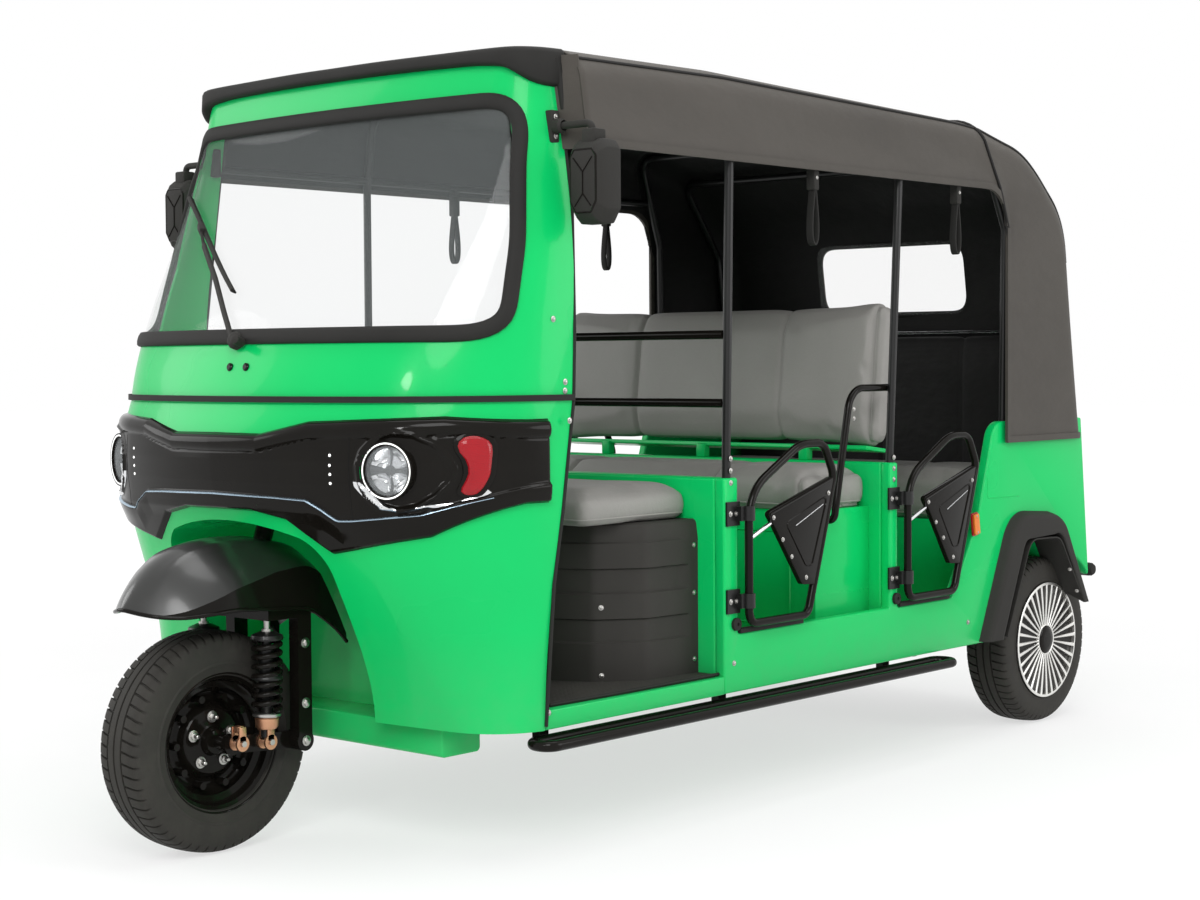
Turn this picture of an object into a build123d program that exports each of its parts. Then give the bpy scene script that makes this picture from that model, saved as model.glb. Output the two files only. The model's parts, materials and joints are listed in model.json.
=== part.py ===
"""Three-wheeled passenger auto rickshaw with a closed cab front, open sides and a soft top.

+X is the vehicle's left, -Y its front and +Z up. The ground is z = 0. Millimetres.
"""

import math
import os

from build123d import *

# ---- overall sizes ----
overall_length = 3230
wheelbase = 2722
body_half_width = 668
sill_z = 291
floor_z = 335
belt_z = 1028
cab_top_z = 1812

# ---- wheels ----
tyre_diameter = 508
tyre_width = 140
rim_diameter = 306
rear_track = 1130
front_axle_y = -overall_length / 2 + tyre_diameter / 2
rear_axle_y = front_axle_y + wheelbase
axle_z = tyre_diameter / 2

# ---- clearances ----
seat_gap = 0.3
shaft_gap = 0.3
wheel_clearance = 25

# ---- sheet and wall thicknesses ----
panel = 4
deck = 6
wall = 30
glass = 5
canvas = 4

# ---- rear wheel houses ----
tyre_centre_x = rear_track / 2
house_radius = tyre_diameter / 2 + wheel_clearance
house_x = tyre_centre_x - tyre_width / 2 - wheel_clearance

# ---- stations behind the front axle ----
cab_back_y = front_axle_y + 640
well_back_y = front_axle_y + 425
bulkhead_y = front_axle_y + 1080
bulkhead_depth = 57
pillar_y = front_axle_y + 1813
pillar_depth = 40
riser_y = front_axle_y + 2340
rear_panel_y = front_axle_y + 2411
tail_top_y = front_axle_y + 2880
tail_bottom_y = front_axle_y + 2939

# ---- heights ----
bulkhead_top_z = 827
pillar_top_z = 836
door_sill_z = 438
hip_z = 934
platform_z = 640
tail_bottom_z = 362
valance_z = 1610
canopy_skirt_z = 872

# ---- steering ----
steer_rake = 20
steer_point_y = front_axle_y + 150
steer_point_z = 640
stem_diameter = 44
head_tube_diameter = 70
steer_slope = math.tan(math.radians(steer_rake))

# ---- tubes ----
hoop_diameter = 22
door_tube = 22
bumper_tube = 42
step_tube = 26
rail_tube = 22

os.makedirs("parts", exist_ok=True)


def save(piece, name):
    """Label a finished piece and write it as one STEP file."""
    piece.part.label = name
    export_step(piece.part, f"parts/{name}.step")


def steer_y(z):
    """Where the steering axis stands at height z."""
    return steer_point_y + (z - steer_point_z) * steer_slope


def steer_plane(z):
    """Plane square to the steering axis, centred on it at height z."""
    rake = math.radians(steer_rake)
    return Plane(origin=(0, steer_y(z), z), x_dir=(1, 0, 0), z_dir=(0, math.sin(rake), math.cos(rake)))


def tube(points, diameter, bend, closed=False):
    """Round bar bent along straight runs; bend is one radius or one for each corner."""
    with BuildPart() as piece:
        with BuildLine() as path:
            FilletPolyline(*points, radius=bend, close=closed)
        with BuildSketch(Plane(origin=path.line @ 0, z_dir=path.line % 0)):
            Circle(diameter / 2)
        sweep(path=path.line)
    return piece.part


def side_slab(outline, x_inner, x_outer):
    """Slab whose side view is a polygon of (y, z) corners, between two x planes."""
    with BuildPart() as piece:
        with BuildSketch(Plane.YZ.offset(x_inner)):
            with BuildLine():
                Polyline(*outline, close=True)
            make_face()
        extrude(amount=x_outer - x_inner)
    return piece.part


def block(x, y, z):
    """Box between two values on each axis, each given as (low, high)."""
    with BuildPart() as piece:
        with Locations(((x[0] + x[1]) / 2, (y[0] + y[1]) / 2, (z[0] + z[1]) / 2)):
            Box(x[1] - x[0], y[1] - y[0], z[1] - z[0])
    return piece.part


def pin(x, y, z, radius):
    """Cylinder along X between two x values."""
    with BuildPart() as piece:
        with BuildSketch(Plane.YZ.offset(x[0])):
            with Locations((y, z)):
                Circle(radius)
        extrude(amount=x[1] - x[0])
    return piece.part


# ---- skin of the cab ----
# height, half width, y of the nose behind the front axle, nose radius, corner radius
cowl_levels = [
    (sill_z, body_half_width, 250, 3820, 160),
    (614, body_half_width, 130, 2020, 330),
    (784, body_half_width, 55, 1536, 380),
    (belt_z, body_half_width, 60, 1432, 400),
]
cab_levels = [
    (belt_z, body_half_width, 60, 1432, 400),
    (1186, body_half_width, 110, 1564, 380),
    (1474, body_half_width - 23, 285, 2285, 230),
    (1720, body_half_width - 63, 405, 3570, 120),
    (cab_top_z, body_half_width - 78, 428, 4050, 100),
]
# rear edge of the cab's side: y behind the front axle, height
cab_edge = [
    (429, sill_z),
    (458, 614),
    (490, 784),
    (528, belt_z),
    (533, 1186),
    (553, 1474),
    (557, cab_top_z),
]


def cab_outline(half_width, nose, nose_radius, corner_radius, grow, back=0):
    """Plan outline of the cab: a shallow nose arc, two rounded corners and straight sides."""
    width = half_width + grow
    radius = nose_radius + grow
    nose_y = front_axle_y + nose - grow
    shoulder_y = nose_y + radius - math.sqrt(radius**2 - width**2)
    with BuildSketch() as outline:
        with BuildLine():
            ThreePointArc((-width, shoulder_y), (0, nose_y), (width, shoulder_y))
            Polyline((width, shoulder_y), (width, cab_back_y + back), (-width, cab_back_y + back), (-width, shoulder_y))
        make_face()
        fillet(outline.vertices().sort_by(Axis.Y)[:2], corner_radius + grow)
    return outline.sketch


def cab_body(levels, grow=0, back=0):
    """Solid inside the cab's skin, with the skin moved outwards by grow."""
    with BuildPart() as body:
        for z, half_width, nose, nose_radius, corner_radius in levels:
            with BuildSketch(Plane.XY.offset(z)):
                add(cab_outline(half_width, nose, nose_radius, corner_radius, grow, back))
        loft()
    return body.part


def cab_side_region():
    """Everything in front of the cab's rear edge."""
    edge = [(front_axle_y + y, z) for y, z in cab_edge]
    ahead = front_axle_y - 300
    outline = [(ahead, sill_z), *edge, (ahead, cab_top_z)]
    return side_slab(outline, -body_half_width - 60, body_half_width + 60)


# ---- wheel arch in the cowl ----
arch_half_width = 290
arch_spring_z = 640
arch_shoulder = (229, 724)
arch_top_z = 757


def arch_outline(grow=0):
    """Front view of the wheel arch, standing on the sill."""
    shoulder_x, shoulder_z = arch_shoulder
    bend_x = (arch_half_width + shoulder_x) / 2 + 13
    bend_z = (arch_spring_z + shoulder_z) / 2 + 6
    with BuildSketch() as outline:
        with BuildLine():
            ThreePointArc((arch_half_width, arch_spring_z), (bend_x, bend_z), arch_shoulder)
            ThreePointArc(arch_shoulder, (0, arch_top_z), (-shoulder_x, shoulder_z))
            ThreePointArc((-shoulder_x, shoulder_z), (-bend_x, bend_z), (-arch_half_width, arch_spring_z))
            Polyline(
                (-arch_half_width, arch_spring_z),
                (-arch_half_width, sill_z),
                (arch_half_width, sill_z),
                (arch_half_width, arch_spring_z),
            )
        make_face()
        if grow:
            offset(amount=grow)
    return outline.sketch


# ---- chassis ----
rail_x = (275, 325)
rail_bottom_z = 249
rail_top_z = floor_z - deck
toe_box_back_y = front_axle_y + 433
kick_z = (340, 400)
rail_end_y = front_axle_y + 2900
cross_depth = 50
backbone_y = (toe_box_back_y, toe_box_back_y + 50)
rail_outline = [
    (toe_box_back_y, rail_bottom_z),
    (riser_y + 30, rail_bottom_z),
    (riser_y + 160, kick_z[0]),
    (rail_end_y, kick_z[0]),
    (rail_end_y, kick_z[1]),
    (riser_y + 130, kick_z[1]),
    (riser_y + panel, rail_top_z),
    (toe_box_back_y, rail_top_z),
]
cross_members_y = [
    toe_box_back_y,
    bulkhead_y + 5,
    pillar_y + 2,
    riser_y - cross_depth,
]
head_z = (775, 905)

with BuildPart() as chassis_frame:
    for side in (-1, 1):
        add(side_slab(rail_outline, *sorted((side * rail_x[0], side * rail_x[1]))))
    for y in cross_members_y:
        add(block((-body_half_width + wall, body_half_width - wall), (y, y + cross_depth), (rail_top_z - 40, rail_top_z)))
    add(block((-house_x, house_x), (rail_end_y - cross_depth, rail_end_y), kick_z))
    backbone = [
        (backbone_y[0], rail_top_z - 40),
        (backbone_y[0], 768),
        (steer_y(790) + 50, 790),
        (steer_y(870), 870),
        (steer_y(870) + 60, 880),
        (backbone_y[1], 800),
        (backbone_y[1], rail_top_z - 40),
    ]
    add(side_slab(backbone, -30, 30))
    with BuildSketch(steer_plane(head_z[0])):
        Circle(head_tube_diameter / 2)
    extrude(amount=(head_z[1] - head_z[0]) / math.cos(math.radians(steer_rake)))
    with BuildSketch(steer_plane(head_z[0] - 60)):
        Circle(stem_diameter / 2 + shaft_gap)
    extrude(amount=400, mode=Mode.SUBTRACT)
save(chassis_frame, "chassis_frame")

toe_box_half_width = 460
toe_box_front_y = front_axle_y + 309
toe_box_bottom_z = 220

with BuildPart() as front_cross_member:
    add(block((-toe_box_half_width, toe_box_half_width), (toe_box_front_y, toe_box_back_y), (toe_box_bottom_z, sill_z)))
    fillet(front_cross_member.edges().filter_by(Axis.X).group_by(Axis.Z)[0], 12)
save(front_cross_member, "front_cross_member")

with BuildPart() as floor_pan:
    inside = body_half_width - wall
    add(block((-body_half_width, body_half_width), (toe_box_back_y, bulkhead_y), (rail_top_z, floor_z)))
    add(block((-inside, inside), (bulkhead_y, riser_y + panel), (rail_top_z, floor_z)))
    for side in (-1, 1):
        sill_x = sorted((side * inside, side * body_half_width))
        add(block(sill_x, (toe_box_back_y, bulkhead_y), (sill_z, floor_z)))
    add(block((-30, 30), backbone_y, (rail_top_z, floor_z)), mode=Mode.SUBTRACT)
save(floor_pan, "floor_pan")

# ---- cab ----
with BuildPart() as wheel_well:
    with BuildSketch(Plane.XZ.offset(-front_axle_y)):
        add(arch_outline(panel))
        add(arch_outline(), mode=Mode.SUBTRACT)
    extrude(amount=-(well_back_y - front_axle_y))
    with BuildSketch(Plane.XZ.offset(-well_back_y)):
        add(arch_outline(panel))
    extrude(amount=-panel)
    add(cab_body(cowl_levels, -panel, 20), mode=Mode.INTERSECT)
    with BuildSketch(steer_plane(arch_top_z - 60)):
        Circle(stem_diameter / 2 + 8)
    extrude(amount=160, mode=Mode.SUBTRACT)
save(wheel_well, "wheel_well")

lamp_x = 478
lamp_z = 882
lamp_y = front_axle_y + 150
lamp_turn = 16
lamp_diameter = 130


def lamp_plane(side, ahead=0):
    """Plane across a headlamp's axis, facing forwards and a little outwards."""
    turn = math.radians(lamp_turn)
    facing = Vector(side * math.sin(turn), -math.cos(turn), 0)
    centre = Vector(side * lamp_x, lamp_y, lamp_z) + facing * ahead
    return Plane(origin=centre, x_dir=(math.cos(turn), side * math.sin(turn), 0), z_dir=facing)


with BuildPart() as lower_cowl:
    add(cab_body(cowl_levels))
    add(cab_body(cowl_levels, -panel, 20), mode=Mode.SUBTRACT)
    add(cab_side_region(), mode=Mode.INTERSECT)
    with BuildSketch(Plane.XZ.offset(-front_axle_y)):
        add(arch_outline())
    extrude(amount=-(well_back_y - front_axle_y), mode=Mode.SUBTRACT)
    for side in (-1, 1):
        with BuildSketch(lamp_plane(side, -60)):
            Circle(lamp_diameter / 2 + 1)
        extrude(amount=200, mode=Mode.SUBTRACT)
save(lower_cowl, "lower_cowl")

# windscreen opening, front view: how far in from the body's side, height
screen_side = [
    (body_half_width - 46, 1188),
    (body_half_width - 50, 1367),
    (body_half_width - 76, 1525),
    (body_half_width - 123, 1712),
]
screen_corner = 70
seal_lip = 12
seal_web = 6


def screen_outline(grow=0):
    """Front view of the windscreen opening."""
    right = [(x, z) for x, z in screen_side]
    left = [(-x, z) for x, z in reversed(screen_side)]
    with BuildSketch() as outline:
        with BuildLine():
            Polyline(*right, *left, close=True)
        make_face()
        fillet(outline.vertices().group_by(Axis.Y)[-1], screen_corner)
        fillet(outline.vertices().group_by(Axis.Y)[0], screen_corner / 3)
        if grow:
            offset(amount=grow)
    return outline.sketch


def screen_prism(grow=0):
    """The windscreen outline carried back through the cab."""
    with BuildPart() as prism:
        with BuildSketch(Plane.XZ.offset(-front_axle_y)):
            add(screen_outline(grow))
        extrude(amount=-(cab_back_y - front_axle_y - 60))
    return prism.part


with BuildPart() as upper_cab:
    add(cab_body(cab_levels))
    add(cab_body(cab_levels, -panel, 20), mode=Mode.SUBTRACT)
    add(cab_side_region(), mode=Mode.INTERSECT)
    add(screen_prism(), mode=Mode.SUBTRACT)
save(upper_cab, "upper_cab")

with BuildPart() as windscreen:
    add(cab_body(cab_levels))
    add(cab_body(cab_levels, -glass, 20), mode=Mode.SUBTRACT)
    add(screen_prism(-seal_web), mode=Mode.INTERSECT)
save(windscreen, "windscreen")

with BuildPart() as windscreen_seal:
    add(cab_body(cab_levels, seal_web))
    add(cab_body(cab_levels, -glass - seal_web, 20), mode=Mode.SUBTRACT)
    add(screen_prism(seal_lip), mode=Mode.INTERSECT)
    add(screen_prism(-seal_lip), mode=Mode.SUBTRACT)
    add(upper_cab.part, mode=Mode.SUBTRACT)
    add(windscreen.part, mode=Mode.SUBTRACT)
save(windscreen_seal, "windscreen_seal")

visor_lip = 12
visor_bottom_z = 1786
visor_top_z = 1832
visor_back_y = front_axle_y + 568

with BuildPart() as cab_roof:
    z, half_width, nose, nose_radius, corner_radius = cab_levels[-1]
    with BuildSketch(Plane.XY.offset(visor_bottom_z)):
        add(cab_outline(half_width, nose, nose_radius, corner_radius, visor_lip))
    extrude(amount=visor_top_z - visor_bottom_z)
    fillet(cab_roof.faces().sort_by(Axis.Z)[-1].edges(), 14)
    add(block((-900, 900), (visor_back_y, cab_back_y + 50), (visor_bottom_z - 5, visor_top_z + 5)), mode=Mode.SUBTRACT)
    add(cab_body(cab_levels, seat_gap, 20), mode=Mode.SUBTRACT)
save(cab_roof, "cab_roof")

belt_height = 14
belt_depth = 7

with BuildPart() as belt_moulding:
    z, half_width, nose, nose_radius, corner_radius = cab_levels[0]
    with BuildSketch(Plane.XY.offset(belt_z + 2)):
        add(cab_outline(half_width, nose, nose_radius, corner_radius, belt_depth))
    extrude(amount=belt_height)
    add(cab_body(cab_levels), mode=Mode.SUBTRACT)
    add(cab_side_region(), mode=Mode.INTERSECT)
save(belt_moulding, "belt_moulding")

# front mask, front view, left half from the centre line: lower edge and upper edge
mask_depth = 14
mask_end = body_half_width + 32
mask_lower = [(0, 784), (117, 783), (215, 764), (270, 722), (311, 691), (552, 735), (mask_end, 822)]
mask_upper = [(mask_end, 988), (586, 1001), (295, 990), (154, 962), (0, 962)]
bezel_size = (226, 152)

with BuildPart() as front_mask:
    add(cab_body(cowl_levels, mask_depth))
    mask_right = mask_lower + mask_upper
    mask_left = [(-x, z) for x, z in reversed(mask_right) if x]
    with BuildSketch(Plane.XZ.offset(-front_axle_y)):
        with BuildLine():
            Polyline(*mask_right, *mask_left, close=True)
        make_face()
    extrude(amount=-(well_back_y - front_axle_y + 20), mode=Mode.INTERSECT)
    for side in (-1, 1):
        with BuildSketch(lamp_plane(side, -40)):
            Ellipse(bezel_size[0] / 2, bezel_size[1] / 2)
        extrude(amount=62)
    add(cab_body(cowl_levels, 0, 20), mode=Mode.SUBTRACT)
    for side in (-1, 1):
        with BuildSketch(lamp_plane(side, -60)):
            Circle(lamp_diameter / 2 + seat_gap)
        extrude(amount=200, mode=Mode.SUBTRACT)
save(front_mask, "front_mask")

with BuildPart() as headlamps:
    for side in (-1, 1):
        with BuildSketch(lamp_plane(side, -50)):
            Circle(lamp_diameter / 2)
        extrude(amount=80)
save(headlamps, "headlamps")

marker_x = (body_half_width - 76, body_half_width - 16)
marker_z = (828, 944)
marker_depth = 20

with BuildPart() as marker_lamps:
    add(cab_body(cowl_levels, marker_depth))
    add(cab_body(cowl_levels, mask_depth, 20), mode=Mode.SUBTRACT)
    with BuildSketch(Plane.XZ.offset(-front_axle_y)):
        for side in (-1, 1):
            with Locations((side * (marker_x[0] + marker_x[1]) / 2, (marker_z[0] + marker_z[1]) / 2)):
                Rectangle(marker_x[1] - marker_x[0], marker_z[1] - marker_z[0])
    extrude(amount=-(well_back_y - front_axle_y + 60), mode=Mode.INTERSECT)
save(marker_lamps, "marker_lamps")

dash_z = 985
dash_back_y = front_axle_y + 400
dash_drop = 105

with BuildPart() as dashboard:
    add(block((-900, 900), (front_axle_y, dash_back_y), (dash_z, dash_z + 10)))
    add(block((-900, 900), (dash_back_y - 4, dash_back_y), (dash_z - dash_drop, dash_z + 10)))
    add(cab_body(cowl_levels, -panel, 20), mode=Mode.INTERSECT)
    with BuildSketch(steer_plane(dash_z - 60)):
        Circle(stem_diameter / 2 + 25)
    extrude(amount=160, mode=Mode.SUBTRACT)
save(dashboard, "dashboard")

# ---- driver's seat ----
base_side_x = body_half_width - 83
base_plan = [(base_side_x, 1080), (base_side_x - 13, 900), (base_side_x - 96, 793), (base_side_x - 209, 742)]
base_top_z = 724
base_wall = 6
driver_cushion = {"half_width": base_side_x - 44, "front": 697, "height": 80}


def base_outline(grow=0):
    """Plan of the driver's seat base, against the front bulkhead."""
    right = [(x, front_axle_y + y) for x, y in base_plan]
    left = [(-x, y) for x, y in reversed(right)]
    with BuildSketch() as outline:
        with BuildLine():
            Polyline(*right, *left, close=True)
        make_face()
        if grow:
            offset(amount=grow, kind=Kind.INTERSECTION)
    return outline.sketch


with BuildPart() as driver_seat_base:
    with BuildSketch(Plane.XY.offset(floor_z)):
        add(base_outline())
    extrude(amount=base_top_z - floor_z)
    with BuildSketch(Plane.XY.offset(floor_z)):
        add(base_outline(-base_wall))
    extrude(amount=base_top_z - floor_z - base_wall, mode=Mode.SUBTRACT)
save(driver_seat_base, "driver_seat_base")

with BuildPart() as battery_pack:
    add(block((-250, 250), (bulkhead_y - 280, bulkhead_y - 20), (floor_z, floor_z + 260)))
save(battery_pack, "battery_pack")


def cushion(x, y, z, edge):
    """Plain padded block with rounded edges."""
    with BuildPart() as pad:
        add(block(x, y, z))
        fillet(pad.edges(), edge)
    return pad.part


with BuildPart() as driver_seat_cushion:
    half = driver_cushion["half_width"]
    front = front_axle_y + driver_cushion["front"]
    bottom = base_top_z + seat_gap
    add(cushion((-half, half), (front, bulkhead_y - seat_gap), (bottom, bottom + driver_cushion["height"]), 26))
save(driver_seat_cushion, "driver_seat_cushion")

# ---- passenger body ----
inside_x = body_half_width - wall

with BuildPart() as bulkheads:
    add(block((-inside_x, inside_x), (bulkhead_y, bulkhead_y + bulkhead_depth), (floor_z, bulkhead_top_z)))
    add(block((-inside_x, inside_x), (pillar_y, pillar_y + pillar_depth), (floor_z, pillar_top_z)))
save(bulkheads, "bulkheads")

side_outline = [
    (bulkhead_y, sill_z),
    (bulkhead_y, bulkhead_top_z),
    (bulkhead_y + bulkhead_depth, bulkhead_top_z),
    (bulkhead_y + bulkhead_depth, door_sill_z),
    (pillar_y, door_sill_z),
    (pillar_y, pillar_top_z),
    (pillar_y + pillar_depth, pillar_top_z),
    (pillar_y + pillar_depth, door_sill_z),
    (front_axle_y + 2130, door_sill_z),
    (front_axle_y + 2270, 651),
    (front_axle_y + 2362, hip_z),
    (tail_top_y, hip_z),
    (tail_bottom_y, tail_bottom_z),
    (tail_bottom_y - 50, tail_bottom_z - 30),
    (front_axle_y + 2735, 635),
    (front_axle_y + 2490, 640),
    (front_axle_y + 2335, sill_z),
]

with BuildPart() as side_panels:
    for side in (-1, 1):
        add(side_slab(side_outline, *sorted((side * inside_x, side * body_half_width))))
    add(pin((-800, 800), rear_axle_y, axle_z, house_radius), mode=Mode.SUBTRACT)
save(side_panels, "side_panels")

flare_depth = 32
flare_outer = [(2315, 306), (2473, 663), (2748, 656), (2939, 358)]
flare_inner = [(2867, 312), (2700, 573), (2528, 577), (2393, 285)]

with BuildPart() as wheel_arch_flares:
    flare = [(front_axle_y + y, z) for y, z in flare_outer + flare_inner]
    for side in (-1, 1):
        add(side_slab(flare, *sorted((side * body_half_width, side * (body_half_width + flare_depth)))))
save(wheel_arch_flares, "wheel_arch_flares")

plate_spacing = 200
plate_hole = 7
plate_z = 560

with BuildPart() as tail_panel:
    tail = [
        (tail_top_y - wall, hip_z),
        (tail_top_y, hip_z),
        (tail_bottom_y, tail_bottom_z),
        (tail_bottom_y - wall, tail_bottom_z),
    ]
    add(side_slab(tail, -inside_x, inside_x))
    for side in (-1, 1):
        add(pin(sorted((side * house_x, side * 800)), rear_axle_y, axle_z, house_radius), mode=Mode.SUBTRACT)
    with BuildSketch(Plane.XZ.offset(-tail_bottom_y - 20)):
        with Locations((-plate_spacing / 2, plate_z), (plate_spacing / 2, plate_z)):
            Circle(plate_hole / 2)
    extrude(amount=100, mode=Mode.SUBTRACT)
save(tail_panel, "tail_panel")

tail_lamp = {"x": body_half_width - 108, "z": 720, "width": 90, "height": 170, "depth": 18}
tail_lean = math.degrees(math.atan((tail_bottom_y - tail_top_y) / (hip_z - tail_bottom_z)))

with BuildPart() as tail_lamps:
    lean = math.radians(tail_lean)
    face_y = tail_bottom_y - (tail_lamp["z"] - tail_bottom_z) * math.tan(lean)
    facing = (0, math.cos(lean), math.sin(lean))
    with BuildSketch(Plane(origin=(0, face_y, tail_lamp["z"]), x_dir=(1, 0, 0), z_dir=facing)):
        with Locations((-tail_lamp["x"], 0), (tail_lamp["x"], 0)):
            RectangleRounded(tail_lamp["width"], tail_lamp["height"], 12)
    extrude(amount=tail_lamp["depth"])
save(tail_lamps, "tail_lamps")

bumper_y = overall_length / 2 - bumper_tube / 2
bumper_z = 454
bumper_half_width = body_half_width - 13
bumper_arm_x = 300

with BuildPart() as rear_bumper:
    add(pin((-bumper_half_width, bumper_half_width), bumper_y, bumper_z, bumper_tube / 2))
    arm = [
        (rail_end_y, kick_z[0]),
        (bumper_y + 5, kick_z[0]),
        (bumper_y + 5, bumper_z),
        (bumper_y - 10, bumper_z),
        (bumper_y - 10, tail_bottom_z - 1),
        (rail_end_y, tail_bottom_z - 1),
    ]
    for side in (-1, 1):
        add(side_slab(arm, side * bumper_arm_x - 20, side * bumper_arm_x + 20))
save(rear_bumper, "rear_bumper")

# ---- passenger seats ----
seat_half_width = body_half_width - 68
mid_base_y = front_axle_y + 1560
mid_base_top_z = 716
mid_seat_front_y = front_axle_y + 1514
mid_cushion_height = 118

with BuildPart() as mid_seat_base:
    add(block((-seat_half_width, seat_half_width), (mid_base_y, pillar_y), (floor_z, mid_base_top_z)))
    hollow_x = seat_half_width - panel
    add(
        block((-hollow_x, hollow_x), (mid_base_y + panel, pillar_y), (floor_z, mid_base_top_z - panel)),
        mode=Mode.SUBTRACT,
    )
save(mid_seat_base, "mid_seat_base")

with BuildPart() as mid_seat_cushion:
    bottom = mid_base_top_z + seat_gap
    add(
        cushion(
            (-seat_half_width, seat_half_width),
            (mid_seat_front_y, pillar_y - seat_gap),
            (bottom, bottom + mid_cushion_height),
            30,
        )
    )
save(mid_seat_cushion, "mid_seat_cushion")

back_bottom_z = 883
back_height = 405
back_thickness = 128
back_recline = 7
back_front_y = front_axle_y + 1815
bracket_x = (-371, 0, 371)
bracket_thickness = 12
bracket_y = (pillar_y + 6, pillar_y + 34)

back_plane = Plane(
    origin=(0, back_front_y, back_bottom_z),
    x_dir=(1, 0, 0),
    z_dir=(0, math.sin(math.radians(back_recline)), math.cos(math.radians(back_recline))),
)

with BuildPart() as mid_seat_back:
    with BuildSketch(back_plane):
        with Locations((0, back_thickness / 2)):
            Rectangle(2 * seat_half_width, back_thickness)
    extrude(amount=back_height)
    fillet(mid_seat_back.edges(), 30)
save(mid_seat_back, "mid_seat_back")

with BuildPart() as backrest_board:
    with BuildSketch(back_plane.offset(-12 - seat_gap)):
        with Locations((0, back_thickness / 2)):
            Rectangle(2 * seat_half_width - 40, back_thickness - 30)
    extrude(amount=12)
    for x in bracket_x:
        add(block((x - 15, x + 15), bracket_y, (pillar_top_z, back_bottom_z - 8)))
save(backrest_board, "backrest_board")

rear_cushion_y = (front_axle_y + 2330, front_axle_y + 2765)
rear_cushion_height = 155

with BuildPart() as rear_seat_base:
    add(block((-inside_x, inside_x), (riser_y, tail_top_y - wall), (platform_z - panel, platform_z)))
    add(block((-inside_x, inside_x), (riser_y, riser_y + panel), (floor_z, platform_z)))
save(rear_seat_base, "rear_seat_base")

with BuildPart() as rear_seat_cushion:
    bottom = platform_z + seat_gap
    add(cushion((-seat_half_width, seat_half_width), rear_cushion_y, (bottom, bottom + rear_cushion_height), 30))
save(rear_seat_cushion, "rear_seat_cushion")

rear_back_height = 400

with BuildPart() as rear_seat_back:
    bottom = platform_z + seat_gap
    rear_back_y = (rear_cushion_y[1] + 5, rear_cushion_y[1] + 60)
    top = bottom + rear_cushion_height + rear_back_height
    add(cushion((-seat_half_width, seat_half_width), rear_back_y, (bottom, top), 18))
save(rear_seat_back, "rear_seat_back")

# ---- soft top ----
canopy_half_width = body_half_width + 14
canopy_front_y = front_axle_y + 572
roof_taper = 0.148
# roof line in side view: y behind the front axle, height, bend radius at that corner
roof_line = [
    (572, 1834, 0),
    (1116, 1840, 900),
    (2307, 1806, 900),
    (2563, 1753, 300),
    (2793, 1557, 260),
    (2904, canopy_skirt_z, 0),
]


def inset_line(points, inset):
    """Open polyline of 2D corners moved to its right-hand side by inset."""
    normals = []
    for (ax, ay), (bx, by) in zip(points, points[1:]):
        length = math.hypot(bx - ax, by - ay)
        normals.append(((by - ay) / length, (ax - bx) / length))
    moved = []
    for index, (x, y) in enumerate(points):
        before = normals[max(index - 1, 0)]
        after = normals[min(index, len(normals) - 1)]
        scale = inset / (1 + before[0] * after[0] + before[1] * after[1])
        moved.append((x + (before[0] + after[0]) * scale, y + (before[1] + after[1]) * scale))
    return moved


def canopy_body(inset=0):
    """Solid under the soft top's skin, with the skin moved inwards by inset."""
    line = inset_line([(front_axle_y + y, z) for y, z, bend in roof_line], inset)
    bends = [bend for y, z, bend in roof_line[1:-1]]
    width = canopy_half_width - inset
    top_z = roof_line[1][1] + 60
    top_width = width - (top_z - valance_z) * roof_taper
    front, back = line[0], line[-1]
    with BuildPart() as body:
        with BuildSketch(Plane.YZ.offset(-900)):
            with BuildLine():
                FilletPolyline(*line, radius=bends)
                Polyline(back, (back[0], 700), (front[0], 700), front)
            make_face()
        extrude(amount=1800)
        with BuildSketch(Plane.XZ.offset(-front_axle_y)):
            with BuildLine():
                Polyline(
                    (width, 600), (width, valance_z), (top_width, top_z),
                    (-top_width, top_z), (-width, valance_z), (-width, 600), close=True,
                )
            make_face()
        extrude(amount=-4000, mode=Mode.INTERSECT)
    return body.part


def canopy_skin():
    """The whole soft top as one sheet, cut to its lower edges."""
    ahead = front_axle_y
    with BuildPart() as skin:
        add(canopy_body())
        add(canopy_body(canvas), mode=Mode.SUBTRACT)
        add(block((-900, 900), (ahead, canopy_front_y), (600, 2000)), mode=Mode.SUBTRACT)
        with BuildSketch(Plane.YZ.offset(-900)) as side_gap:
            with BuildLine():
                Polyline(
                    (ahead, 600), (ahead, valance_z), (rear_panel_y, valance_z), (rear_panel_y, 600), close=True
                )
            make_face()
            fillet(side_gap.vertices().sort_by(Axis.X)[-2:].sort_by(Axis.Y)[-1], 110)
        extrude(amount=1800, mode=Mode.SUBTRACT)
        add(block((-900, 900), (ahead, overall_length), (600, canopy_skirt_z)), mode=Mode.SUBTRACT)
    return skin.part


# seam between roof and rear curtain, side view
seam = [(2229, 1950), (2411, 1582), (2411, 700)]


def rear_region():
    """Everything behind the seam."""
    line = [(front_axle_y + y, z) for y, z in seam]
    return side_slab([*line, (overall_length, 700), (overall_length, 1950)], -900, 900)


with BuildPart() as canopy_top:
    add(canopy_skin())
    add(rear_region(), mode=Mode.SUBTRACT)
save(canopy_top, "canopy_top")

window_half_width = 283
window_z = (1264, 1497)
window_corner = 45


def window_prism(grow=0):
    """Rear window outline carried through the rear curtain."""
    with BuildPart() as prism:
        with BuildSketch(Plane.XZ.offset(-rear_panel_y)):
            with Locations((0, (window_z[0] + window_z[1]) / 2)):
                height = window_z[1] - window_z[0] + 2 * grow
                RectangleRounded(2 * (window_half_width + grow), height, window_corner)
        extrude(amount=-700)
    return prism.part


with BuildPart() as canopy_rear:
    add(canopy_skin())
    add(rear_region(), mode=Mode.INTERSECT)
    add(window_prism(), mode=Mode.SUBTRACT)
save(canopy_rear, "canopy_rear")

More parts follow.
